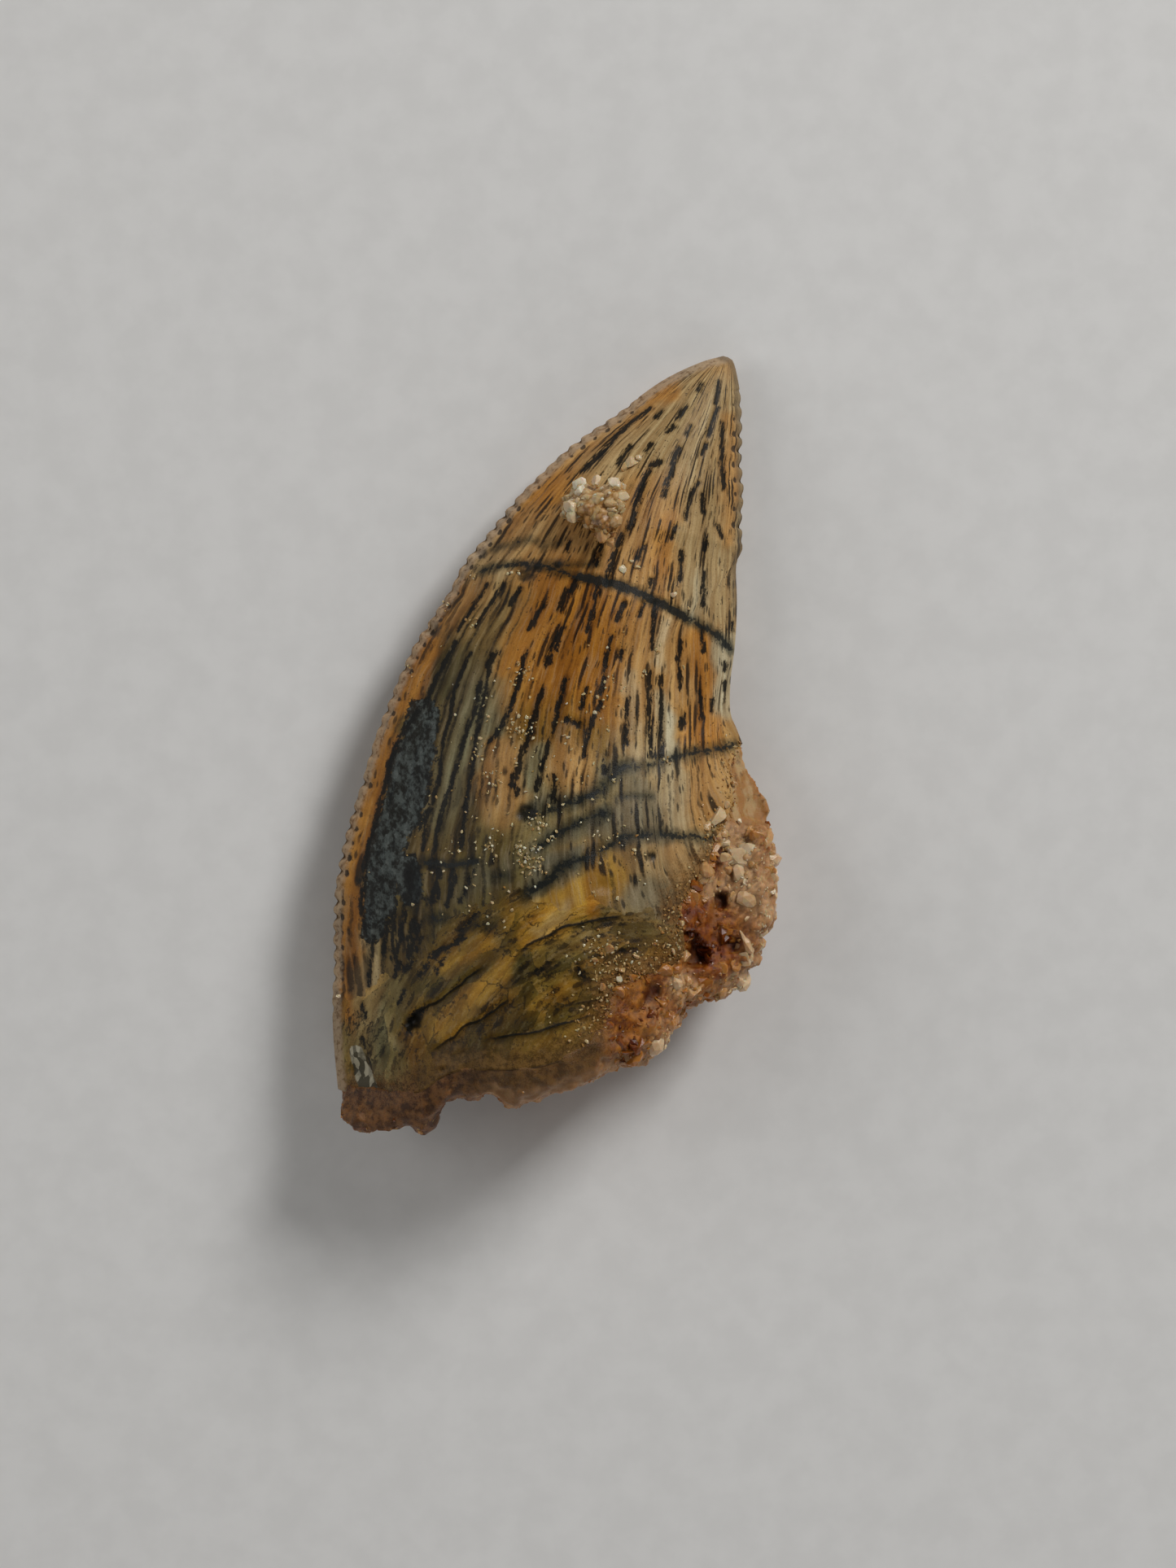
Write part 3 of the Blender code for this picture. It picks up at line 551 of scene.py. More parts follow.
top_q, top_z, top = crown_face(TOP_COLUMNS, True)
under_q, under_z, under = crown_face(UNDER_COLUMNS, False)
top["ink"] = brush(top_q, STREAKS, STREAK_SOFTNESS)
top["band"] = np.zeros(len(top_q))
for width, solid, points in BANDS:
    top["band"] = np.maximum(top["band"], solid * brush(top_q, [(width, points)], BAND_SOFTNESS))
top["slate"] = brush(top_q, SLATE, FIELD_SOFTNESS)
top["clean"] = brush(top_q, CLEAN, FIELD_SOFTNESS)
top["pit"] = np.zeros(len(top_q))
top["chip"] = brush(top_q, CHIP, STREAK_SOFTNESS)
flutes = fractal(top["flow"] * FLOW_STRETCH, 0.55, 2)
ragged = fractal(np.column_stack([top_q, top_z]), 0.5, 3)
top["ledge"] = np.zeros(len(top_q))
top["crack"] = np.full(len(top_q), 0.5)
for points, depth in LEDGES:
    line = spline(points)
    distance, reach, side = measure(line, top_q)
    past = -side * distance + 0.05 * ragged
    ends = np.clip(np.minimum(reach, total(line) - reach) / LEDGE_END_FADE, 0, 1)
    step = np.clip((past + LEDGE_HALF_STEP) / (2 * LEDGE_HALF_STEP), 0, 1)
    top_z -= depth * ends * step * np.clip(1 - past / LEDGE_FADE, 0, 1)
    mark = ends * smooth(distance, 0.45, 0.30) * min(1.0, depth / LEDGE_MARK_DEPTH)
    nearer = (distance < 0.5) & (np.abs(past) < np.abs(top["crack"]))
    top["crack"][nearer] = past[nearer]
    top["ledge"][nearer] = mark[nearer]
for x, y, radius, depth, dark in PITS:
    near = np.hypot(*(top_q - (x, y)).T) / radius + 0.25 * ragged
    top_z -= depth * smooth(near, 1.0, 0.3)
    top["pit"] = np.maximum(top["pit"], dark * smooth(near, 1.0, 0.5))
inner = np.clip(np.minimum(top["to_front"], top["to_rear"]) / WAVES_FADE, 0, 1)
lower_half = smooth(top_q[:, 1], 3.0, -3.0)
top_z += inner * (FLUTE_DEPTH + LOW_FLUTE_DEPTH * lower_half) * flutes
top_z += inner * WAVE_DEPTH * fractal(np.column_stack([top_q, top_z]), 2.5, 3)
top_z -= STREAK_DEPTH * smooth(top["ink"], 0.2, 0.7) + BAND_DEPTH * smooth(top["band"], 0.2, 0.8)
top_z -= SLIT_DEPTH * top["cut"]
under_z += SLIT_DEPTH * under["cut"]
under_inner = np.clip(np.minimum(under["to_front"], under["to_rear"]) / WAVES_FADE, 0, 1)
under_z += under_inner * UNDER_FLUTE_DEPTH * (1 + fractal(under["flow"] * FLOW_STRETCH, 0.6, 2))
for name in ("ink", "band", "slate", "clean", "pit", "ledge", "crack", "chip"):
    under[name] = np.zeros(len(under_q))
# In the lowest third the marks run along growth lines, which are arcs round one centre
for face, q in ((top, top_q), (under, under_q)):
    face["combed"] = hill(measure(spline(COMBED), q)[0], 0.0, COMBED_REACH)
    front_cells = hill(face["to_front"], *FRONT_CELLS) * slits(face["front_at"], FRONT_DENTICLES, FRONT_WEAR)
    rear_cells = hill(face["to_rear"], *REAR_CELLS) * slits(face["rear_at"], REAR_DENTICLES, REAR_WEAR)
    face["cell"] = front_cells + rear_cells
    x, y = (q - GROWTH_CENTRE).T
    radius = np.hypot(x, y)
    arc = [radius, radius.mean() * np.arctan2(x, y), face["flow"][:, 2] + 20]
    face["arc"] = np.stack(arc, 1)
    face["growth"] = 0.5 + (np.interp(q[:, 0], *np.transpose(GROWTH_TOP)) - q[:, 1]) / 2.2
    face["to_break"] = measure(break_line, q)[0] + 1.5 * smooth(q[:, 1], -3.6, -2.4)
    face["rusty"] = np.maximum(smooth(q[:, 0], 0.6, 1.8), smooth(q[:, 0], -3.6, -4.8))


def tint(q):
    """The enamel's colour at each point: each zone's colour weighted by how near the zone is."""
    # Khaki at the base, tan towards the tip: partly the enamel's colour and partly painted shade on the lower
    # part
    towards_tip = smooth(q[:, 1], -9.0, 6.0)[:, None]
    colour = GROUND_WEIGHT * ((1 - towards_tip) * np.array(KHAKI) + towards_tip * np.array(TAN))
    weight = np.full(len(q), GROUND_WEIGHT)
    for shade, reach, points in ZONES:
        pull = np.exp(-((measure(np.array(points, float), q)[0] / reach) ** 2) * ZONE_FADE)
        colour += pull[:, None] * np.array(shade)
        weight += pull
    return colour / weight[:, None]


def warped(q, z, size, amount):
    """The points moved about by noise, so that zones have natural outlines."""
    p = np.column_stack([q, z])
    return q + amount * np.stack([fractal(p, size), fractal(p + 50.0, size)], 1)


top["tint"] = tint(warped(top_q, top_z, 1.2, 0.35))
under["tint"] = tint(warped(under_q, under_z - 20, 2.5, 1.2))

# The crown's mesh: one closed ring of points for each row, over the upper face, round the rear edge, back
# under the lower face and round the front edge. The tip closes one end and the break the other.
EDGE_ROUND = 0.01
top_rows = np.column_stack([top_q, top_z]).reshape(ROWS, TOP_COLUMNS + 1, 3)
under_rows = np.column_stack([under_q, under_z]).reshape(ROWS, UNDER_COLUMNS + 1, 3)
rear_mid = (top_rows[:, -1:] + under_rows[:, -1:]) / 2
front_mid = (top_rows[:, :1] + under_rows[:, :1]) / 2
rear_mid[..., 0] += EDGE_ROUND
front_mid[..., 0] -= EDGE_ROUND
rings = np.concatenate([top_rows, rear_mid, under_rows[:, ::-1], front_mid], axis=1)
ring = rings.shape[1]
tip_point = rings[0].mean(0)
tip_point[:2] = FRONT_EDGE[0]
points = np.vstack([rings.reshape(-1, 3), tip_point])
here = np.arange(ROWS - 1)[:, None] * ring + np.arange(ring)[None]
beside = np.arange(ROWS - 1)[:, None] * ring + (np.arange(ring)[None] + 1) % ring
faces = np.stack([here, beside, beside + ring, here + ring], -1).reshape(-1, 4).tolist()
tip_index = len(points) - 1
faces += [(k, tip_index, (k + 1) % ring) for k in range(ring)]
last = (ROWS - 1) * ring
turn = TOP_COLUMNS // UNDER_COLUMNS
under_start = last + TOP_COLUMNS + 2
for k in range(UNDER_COLUMNS):
    upper = [last + turn * k + n for n in range(turn + 1)]
    lower = [under_start + UNDER_COLUMNS - k - 1, under_start + UNDER_COLUMNS - k]
    faces.append(upper + lower)
faces.append((last + ring - 1, last, under_start + UNDER_COLUMNS))
faces.append((last + TOP_COLUMNS, last + TOP_COLUMNS + 1, under_start))


def mesh_object(name, points_mm, faces):
    """A smooth-shaded object from points in millimetres."""
    mesh = bpy.data.meshes.new(name)
    mesh.from_pydata((np.asarray(points_mm) * MM).tolist(), [], faces)
    mesh.update()
    mesh.shade_smooth()
    piece = bpy.data.objects.new(name, mesh)
    bpy.context.scene.collection.objects.link(piece)
    return piece


def store(piece, name, values):
    """Keeps a number, a vector or a colour with each point of the mesh."""
    values = np.asarray(values, np.float32)
    width = 1 if values.ndim == 1 else values.shape[1]
    kind, field = {1: ("FLOAT", "value"), 3: ("FLOAT_VECTOR", "vector"), 4: ("FLOAT_COLOR", "color")}[width]
    piece.data.attributes.new(name, kind, "POINT").data.foreach_set(field, values.ravel())


def ringed(name):
    """A measure of both faces in the order of the mesh's points."""
    width = 1 if top[name].ndim == 1 else top[name].shape[1]
    upper = top[name].reshape(ROWS, TOP_COLUMNS + 1, width)
    lower = under[name].reshape(ROWS, UNDER_COLUMNS + 1, width)
    rows = np.concatenate([upper, upper[:, -1:], lower[:, ::-1], upper[:, :1]], axis=1)
    values = np.vstack([rows.reshape(-1, width), rows[0].mean(0)])
    return values[:, 0] if width == 1 else values


crown = mesh_object("crown_enamel", points, faces)
MEASURES = [
    "ink", "band", "slate", "clean", "pit", "ledge", "crack", "cut", "growth", "to_break", "combed", "cell",
    "rusty", "chip", "arc", "flow", "to_front", "to_rear",
]
for name in MEASURES:
    store(crown, name, ringed(name))
store(crown, "tint", np.column_stack([ringed("tint"), np.ones(len(points))]))


class Socket:
    """A value in a material's node tree. Its operators add Math nodes, and node() adds any other node."""

    def __init__(self, tree, link=None):
        self.tree, self.link = tree, link

    def node(self, kind, settings=None, inputs=None, out=0):
        """Any node: its kind, its settings, and the values or links of its sockets."""
        made = self.tree.nodes.new("ShaderNode" + kind)
        for name, value in (settings or {}).items():
            if name == "stops":
                ramp = made.color_ramp.elements
                while len(ramp) < len(value):
                    ramp.new(1.0)
                for stop, (place, colour) in zip(ramp, value):
                    stop.position, stop.color = place, (*colour, 1.0)
            else:
                setattr(made, name, value)
        for name, value in (inputs or {}).items():
            if isinstance(value, Socket):
                self.tree.links.new(value.link, made.inputs[name])
            else:
                made.inputs[name].default_value = value
        return Socket(self.tree, made.outputs[out] if made.outputs else None)

    def math(self, operation, *values):
        return self.node("Math", {"operation": operation}, dict(enumerate(values)))

    def __add__(self, other):
        return self.math("ADD", self, other)

    def __sub__(self, other):
        return self.math("SUBTRACT", self, other)

    def __rsub__(self, other):
        return self.math("SUBTRACT", other, self)

    def __mul__(self, other):
        return self.math("MULTIPLY", self, other)

    def __gt__(self, other):
        return self.math("GREATER_THAN", self, other)

    __radd__, __rmul__ = __add__, __mul__

    def swing(self, amount):
        """This noise, from 0 to 1, as a number from minus half the amount to plus half of it."""
        return (self - 0.5) * amount

    def ramp(self, low, high):
        """0 below low and 1 above high, smooth between."""
        inputs = {"Value": self, "From Min": low, "From Max": high}
        return self.node("MapRange", {"interpolation_type": "SMOOTHSTEP"}, inputs)

    def mix(self, colour, other):
        """colour where this value is 0, and other where it is 1."""
        colours = [(*c, 1.0) if isinstance(c, tuple) else c for c in (colour, other)]
        return self.node("Mix", {"data_type": "RGBA"}, {0: self, 6: colours[0], 7: colours[1]}, out=2)

    def stretch(self, *scale):
        """This vector, multiplied along each axis."""
        return self.node("VectorMath", {"operation": "MULTIPLY"}, {0: self, 1: scale})

    def noise(self, scale, detail=3.0, roughness=0.55):
        inputs = {"Vector": self, "Scale": scale, "Detail": detail, "Roughness": roughness}
        return self.node("TexNoise", None, inputs)

    def cells(self, scale, feature="F1", out=0):
        return self.node("TexVoronoi", {"feature": feature}, {"Vector": self, "Scale": scale}, out=out)

    def cell_value(self, scale):
        """A random number for each cell."""
        return self.node("SeparateColor", None, {0: self.cells(scale, out=1)})

    def times(self, colour, factor=1.0):
        """This colour multiplied by another."""
        settings = {"data_type": "RGBA", "blend_type": "MULTIPLY"}
        other = (*colour, 1.0) if isinstance(colour, tuple) else colour
        return self.node("Mix", settings, {0: factor, 6: self, 7: other}, out=2)


def new_material(name):
    """A new material, the start of its expressions, and each point's place in millimetres."""
    material = bpy.data.materials.new(name)
    material.use_nodes = True
    material.node_tree.nodes.clear()
    start = Socket(material.node_tree)
    place = start.node("TexCoord", None, None, out=3).stretch(1 / MM, 1 / MM, 1 / MM)
    return material, start, place


def attribute(start, name, out=2):
    """A measure kept with the mesh: out 0 is a colour, 1 a vector and 2 a number."""
    return start.node("Attribute", {"attribute_name": name}, None, out=out)


def finish_material(start, piece, material, inputs):
    """Ends a material in one surface shader, and gives it to the piece."""
    shader = start.node("BsdfPrincipled", None, inputs)
    start.node("OutputMaterial", None, {"Surface": shader})
    piece.data.materials.clear()
    piece.data.materials.append(material)


# The enamel's looks. The colour zones lie under everything. The marks follow the fibres: a place along and
# across the flow of the enamel, which wanders a little and follows the growth arcs in the lowest third.
enamel, start, place = new_material("fossil_enamel")
flow = attribute(start, "flow", 1)
ink, band, slate = (attribute(start, name) for name in ("ink", "band", "slate"))
pit, ledge, cut = (attribute(start, name) for name in ("pit", "ledge", "cut"))
to_front, to_rear = attribute(start, "to_front"), attribute(start, "to_rear")
colour = attribute(start, "tint", 0)

wander = place.noise(0.7, 2.0)
ragged = place.noise(9.0, 3.0, 0.7)
low_third = (attribute(start, "growth") + place.noise(0.8, 4.0, 0.6).swing(1.3)) > 0.5
sway = start.node("CombineXYZ", None, {0: wander.swing(0.22) + ragged.swing(0.04 + low_third * 0.14)})
arc = attribute(start, "arc", 1)
lines = start.node("Mix", {"data_type": "VECTOR"}, {0: low_third, 4: flow, 5: arc}, out=1)
fibre = start.node("VectorMath", {"operation": "ADD"}, {0: lines, 1: sway})
broad = fibre.stretch(1.0, 0.10, 1.0).noise(1.5, 3.0)
stripes = fibre.stretch(1.0, 0.08, 1.0).noise(3.4, 3.0, 0.6)
threads = fibre.stretch(1.0, 0.10, 1.0).noise(9.0, 3.0, 0.6)
dust = place.noise(6.0, 5.0, 0.7)
grit = place.noise(24.0, 3.0, 0.65)

# Stains that follow the fibres: pale stripes, brown stripes, and thin dark threads at an even spacing. They
# are faint near the tip and strong lower down, and strongest where the fibres are combed.
THREAD_SPACING = 0.37
down = start.node("SeparateXYZ", None, {0: flow}, out=1)
aged = down.ramp(3.0, 12.0) * 0.65 + 0.35
colour = (broad.ramp(0.58, 0.40) * 0.40).mix(colour, colour.times((0.62, 0.48, 0.34)))
colour = (broad.ramp(0.50, 0.62) * 0.40).mix(colour, colour.times((1.15, 1.20, 1.30)))
colour = (stripes.ramp(0.46, 0.62) * 0.60).mix(colour, colour.times((1.42, 1.55, 1.75)))
colour = (stripes.ramp(0.52, 0.36) * aged * 0.42).mix(colour, colour.times((0.58, 0.47, 0.38)))
colour = (threads.ramp(0.50, 0.68) * aged * 0.20).mix(colour, (0.50, 0.40, 0.26))
colour = (threads.ramp(0.47, 0.34) * aged * 0.20).mix(colour, colour.times((0.30, 0.27, 0.22)))
across = start.node("SeparateXYZ", None, {0: fibre})
comb = start.math("SINE", across * (2 * math.pi / THREAD_SPACING) + wander * 2.5)
run = fibre.stretch(0.9, 0.22, 1.0).noise(2.4, 3.0, 0.6)
combed = attribute(start, "combed") * (1 - low_third)
beads = fibre.stretch(1.2, 0.42, 1.0).noise(5.0, 3.0, 0.7)
comb_mask = (comb + ragged.swing(1.2)).ramp(0.58, 1.10)
clean = (attribute(start, "clean") + dust.swing(0.4)).ramp(0.22, 0.42)
calm = (1 - combed * 0.6) * (1 - low_third * 0.25) * (1 - clean)
comb_mask = comb_mask * (run + combed * 0.05).ramp(0.47, 0.58) * (1 + combed * 0.30)
comb_mask = comb_mask * (1 - low_third * 0.8) * (1 - clean)
colour = colour.times((0.86, 0.84, 0.80), combed)
colour = colour.times((0.62, 0.56, 0.44), comb.ramp(-0.3, 0.8) * combed * 0.7)
colour = colour.times((1.22, 1.24, 1.26), comb.ramp(0.0, -0.8) * combed)
colour = (comb_mask * aged * 0.65).mix(colour, (0.012, 0.010, 0.006))
colour = colour.times((0.60, 0.57, 0.54), dust.ramp(0.53, 0.68) * 0.45)
colour = colour.times((1.30, 1.28, 1.24), grit.ramp(0.52, 0.72) * 0.6)
colour = colour.times((0.62, 0.58, 0.54), grit.ramp(0.46, 0.32) * 0.6)

# Long plates of the lowest third, light and dark, with thin cracks between some of them
plates = fibre.stretch(1.7, 0.32, 1.0)
plate_tone = plates.cell_value(1.25) + dust.swing(0.35)
colour = colour.times((0.44, 0.48, 0.45), plate_tone.ramp(0.54, 0.34) * low_third * (1 - clean) * 0.70)
colour = colour.times((1.36, 1.26, 1.02), plate_tone.ramp(0.58, 0.78) * low_third * 0.60)
plate_edge = plates.cells(1.25, "DISTANCE_TO_EDGE") + ragged.swing(0.05)
plate_crack = plate_edge.ramp(0.040, 0.015) * low_third * place.noise(1.4, 3.0).ramp(0.53, 0.60)
colour = (plate_crack * 0.60).mix(colour, (0.010, 0.008, 0.004))
colour = colour.times((0.92, 0.87, 0.66), low_third * 0.9)

# Dashes of manganese strewn along the fibres
INK_AND_SHADE_BLACK = (0.005, 0.0048, 0.0036)
dash_field = fibre.stretch(1.8, 0.24, 1.0)
dashes = dash_field.cells(2.9)
crowd = place.noise(0.55, 2.0)
frayed = ragged.swing(0.30 + low_third * 0.5)
some = (dash_field.cell_value(2.9) + crowd.swing(1.2)).ramp(0.50, 0.58)
colour = colour.times((0.60, 0.52, 0.42), (dashes + frayed).ramp(0.66, 0.34) * some * calm * 0.65)
dash_mask = (dashes + frayed).ramp(0.46, 0.27) * some
short_field = fibre.stretch(1.6, 0.42, 1.0)
shorts = short_field.cells(5.2)
some_short = (short_field.cell_value(5.2) + crowd.swing(1.2)).ramp(0.60, 0.68)
short_mask = (shorts + frayed).ramp(0.44, 0.22) * some_short
colour = (dash_mask * calm * 0.86).mix(colour, INK_AND_SHADE_BLACK)
colour = (short_mask * calm * 0.76).mix(colour, (0.010, 0.008, 0.005))
specks = place.cells(7.5)
speck_mask = (specks + ragged.swing(0.2)).ramp(0.24, 0.13) * place.noise(1.3, 2.0).ramp(0.50, 0.60)
colour = (speck_mask * (1 - clean) * 0.7).mix(colour, (0.014, 0.012, 0.008))

# The slate patch: dark, with a blue-grey marbling, a few black spots and a black rim
mottle = place.noise(5.2, 4.0, 0.65)
blots = place.noise(1.5, 5.0, 0.72)
marbling = fibre.stretch(1.0, 0.55, 1.0).noise(3.4, 5.0, 0.74)
SLATE_DARK, SLATE_MID, SLATE_PALE = (0.006, 0.007, 0.006), (0.080, 0.096, 0.090), (0.170, 0.190, 0.175)
slate_colour = (marbling * 0.7 + mottle * 0.3).ramp(0.44, 0.58).mix(SLATE_DARK, SLATE_MID)
slate_colour = ((marbling * 0.5 + dust * 0.5).ramp(0.52, 0.66) * 0.75).mix(slate_colour, SLATE_PALE)
slate_spots = (place.cells(3.4) + mottle.swing(0.9)).ramp(0.36, 0.24)
slate_colour = (slate_spots * 0.85).mix(slate_colour, SLATE_DARK)
slate_colour = (slate + mottle.swing(0.6)).ramp(0.46, 0.36).mix(slate_colour, SLATE_DARK)
slate_rim = dust.swing(0.7) + blots.swing(0.5) + stripes.swing(0.5)
slate_mask = (slate + slate_rim).ramp(0.28, 0.38)
colour = (slate_mask * 0.96).mix(colour, slate_colour)

# The drawn streaks and bands, broken into beads, each in a brown or smoky halo
ink_mask = (ink + beads.swing(2.2 - combed) + ragged.swing(0.7)).ramp(0.50, 0.78)
halo = (ink + (beads - 0.5)).ramp(0.15, 0.65)
colour = colour.times((0.52, 0.48, 0.40), halo * 0.60)
colour = (ink_mask * 0.95).mix(colour, INK_AND_SHADE_BLACK)
band_break = place.noise(3.2, 4.0, 0.7)
band_mask = (band + band_break.swing(1.1) + ragged.swing(0.8)).ramp(0.64, 0.84)
band_halo = (band + band_break.swing(0.9) + (0.5 - stripes) * 0.8).ramp(0.06, 0.70)
colour = colour.times((0.24, 0.28, 0.31), band_halo * 0.85)
colour = (band_mask * 0.92).mix(colour, (0.010, 0.012, 0.011))

# Seams between growth layers, the ledges' cracks with painted light and shade, and the pits
seams = fibre.stretch(1.0, 0.16, 1.0).noise(1.25, 4.0, 0.55)
seam = start.math("ABSOLUTE", seams - 0.5).ramp(0.013, 0.003) * low_third
seam = seam * place.noise(1.1, 3.0).ramp(0.44, 0.54)
colour = (seam * 0.8).mix(colour, (0.016, 0.011, 0.005))
crack = attribute(start, "crack") + ragged.swing(0.07)
lit_edge = crack.ramp(-0.20, -0.02) * crack.ramp(0.01, -0.02)
shaded = crack.ramp(0.0, 0.03) * crack.ramp(0.34, 0.06)
# Painted highlight on the higher side of each ledge, painted shade on its lower side
colour = colour.times((1.45, 1.42, 1.30), ledge * lit_edge * 0.8)
colour = colour.times((0.42, 0.42, 0.42), ledge * shaded * 0.8)
# A black line of painted shade down each crack
colour = (ledge * crack.ramp(-0.02, 0.01) * crack.ramp(0.09, 0.045) * 0.85).mix(colour, INK_AND_SHADE_BLACK)
colour = (pit * (mottle.ramp(0.3, 0.5) * 0.5 + 0.5) * 0.95).mix(colour, (0.010, 0.009, 0.006))

# Iron stain along the break, and the glassy chip
stain = (attribute(start, "to_break") + dust.swing(1.6)).ramp(1.15, 0.10)
stain_colour = (mottle * 0.5 + grit * 0.5).ramp(0.42, 0.58).mix((0.050, 0.020, 0.004), (0.22, 0.105, 0.030))
rusty = (attribute(start, "rusty") + mottle.swing(1.2)).ramp(0.3, 0.7)
brown_stain = (mottle * 0.6 + grit * 0.4).ramp(0.42, 0.58).mix((0.075, 0.038, 0.009), (0.190, 0.100, 0.028))
stain_colour = rusty.mix(brown_stain, stain_colour)
colour = (stain * 0.85).mix(colour, stain_colour)
chip = (attribute(start, "chip") + dust.swing(0.3)).ramp(0.22, 0.34)
chip_light = (place.stretch(1.0, 0.6, 1.0).cell_value(4.5) + mottle.swing(0.6)).ramp(0.25, 0.75)
chip_colour = chip_light.mix((0.075, 0.066, 0.042), (0.52, 0.47, 0.34))
colour = (chip * 0.92).mix(colour, chip_colour)

# The denticles: pinkish tan in front and brown behind, with dark slits and a dark cell at the foot of each
edge_strip = (to_front + dust.swing(0.15)).ramp(0.36, 0.16)
strip_colour = dust.ramp(0.46, 0.66).mix((0.48, 0.350, 0.225), (0.20, 0.120, 0.065))
colour = (edge_strip * 0.75).mix(colour, strip_colour)
rear_strip = (to_rear + dust.swing(0.1)).ramp(0.26, 0.08) * down.ramp(9.0, 7.0)
colour = (rear_strip * 0.6).mix(colour, (0.105, 0.075, 0.045))
colour = (cut.ramp(0.45, 1.1) * 0.55).mix(colour, (0.045, 0.026, 0.014))
cell_mask = (attribute(start, "cell") + dust.swing(0.8)).ramp(0.40, 0.65)
colour = (cell_mask * 0.85).mix(colour, (0.016, 0.010, 0.006))

# A fine relief of wrinkles and grit, and a shine that dust dulls
wrinkle = fibre.stretch(1.0, 0.22, 1.0).noise(13.0, 4.0, 0.65)
relief = wrinkle * 0.6 + grit * 0.4
bump = start.node("Bump", None, {"Strength": 0.40, "Distance": 0.05 * MM, "Height": relief})
finish_material(start, crown, enamel, {
    "Base Color": colour, "Roughness": 0.24 + 0.26 * dust, "Specular IOR Level": 0.16, "Normal": bump,
})
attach(crown, "root")
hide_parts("crown")

# The sandstone on the broken base. Quartz sand held together by iron, knobbly and thickest at the rear
# corner, and grown onto the break without a gap. Its skin is the solid's own shape, made finer and grainy.
SKIN_VOXEL = 0.09
GRAIN_SIZE = 0.27
GRAIN_RELIEF = 0.085
SOLID_GAP = 0.3
CORNER_REACH = 0.10
CORNER_RISE = 0.20
UPPER_END_REACH = (-0.26, 0.50, 0.0)
HOLLOWS = [
    (4.25, -6.55, 0.50, 0.55), (4.98, -4.90, 0.36, 0.35), (5.05, -3.45, 0.34, 0.30), (2.9, -7.6, 0.40, 0.20),
    (5.4, -6.2, 0.30, 0.15), (4.05, -6.0, 0.34, 0.40),
]
# Clusters of clean quartz: x, y, reach, how much paler
PALE_CLUSTERS = [
    (5.55, -3.20, 0.65, 0.60), (5.75, -4.45, 0.75, 0.60), (4.75, -4.55, 0.35, 0.55),
    (3.80, -7.40, 0.55, 0.50), (6.50, -5.20, 0.50, 0.30), (5.20, -7.40, 0.50, 0.20),
    (3.10, -9.20, 0.45, 0.25), (4.90, -2.60, 0.40, 0.35),
]
# The deep red band in the middle, in light that comes through the iron
RED_GLOW = [(4.15, -5.2), (4.5, -6.0), (4.6, -6.7), (5.1, -6.3)]
RED_GLOW_REACH = 0.55


def finer(name, node, voxel, move):
    """A fine mesh of a solid's shape, its points first moved by move, in millimetres."""
    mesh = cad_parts[node].data.copy()
    co = np.empty(len(mesh.vertices) * 3, np.float32)
    mesh.vertices.foreach_get("co", co)
    mesh.vertices.foreach_set("co", move(co.reshape(-1, 3).astype(float) / MM).astype(np.float32).ravel())
    mesh.materials.clear()
    coarse = bpy.data.objects.new(name + "_coarse", mesh)
    bpy.context.scene.collection.objects.link(coarse)
    remesh = coarse.modifiers.new("fine", "REMESH")
    remesh.mode, remesh.voxel_size = "VOXEL", voxel
    shaped = coarse.evaluated_get(bpy.context.evaluated_depsgraph_get()).to_mesh()
    points = np.empty(len(shaped.vertices) * 3, np.float32)
    shaped.vertices.foreach_get("co", points)
    normals = np.empty(len(shaped.vertices) * 3, np.float32)
    shaped.vertex_normals.foreach_get("vector", normals)
    faces = [tuple(f.vertices) for f in shaped.polygons]
    bpy.data.objects.remove(coarse)
    return points.reshape(-1, 3).astype(float), normals.reshape(-1, 3).astype(float), faces


def onto_the_break(p):
    """Carries the solid's inner wall across its gap into the crown, and its top down onto the crown's."""
    distance, reach, side = measure(break_line, p[:, :2])
    back = distance < SOLID_GAP + 0.08
    corner = smooth(p[:, 0], -4.4, -5.9) * smooth(p[:, 1], -10.2, -10.7)
    nearest = at_share(break_line, reach / total(break_line))
    away = (nearest - p[:, :2]) / np.maximum(distance, 1e-6)[:, None]
    p[back, :2] += away[back] * (SOLID_GAP + 0.1)
    p[:, 0] -= CORNER_REACH * corner
    p[:, 1] += CORNER_RISE * corner * smooth(p[:, 1], -11.5, -10.9)
    edge, up, _ = swell(p[:, :2])
    flush = np.maximum(smooth(distance, 1.1, 0.3), smooth(p[:, 1], -3.0, -2.2))
    flush = flush * smooth(p[:, 2] - edge, 0.1, 0.6)
    p[:, 2] += flush * (edge + EDGE_HALF_THICKNESS + up - p[:, 2])
    upper_end = smooth(p[:, 1], -1.5, -0.7)
    p += upper_end[:, None] * UPPER_END_REACH
    return p


def grainy(p, size):
    """Rounded grains packed side by side: height from 0 in the joints to 1, and the joint's darkness."""
    cells = [noise.voronoi(Vector(v))[0] for v in p / size]
    near = np.array([c[0] for c in cells])
    nearly = np.array([c[1] for c in cells])
    return np.clip(1.1 - 1.2 * near, 0, 1), smooth(nearly - near, 0.25, 0.0)


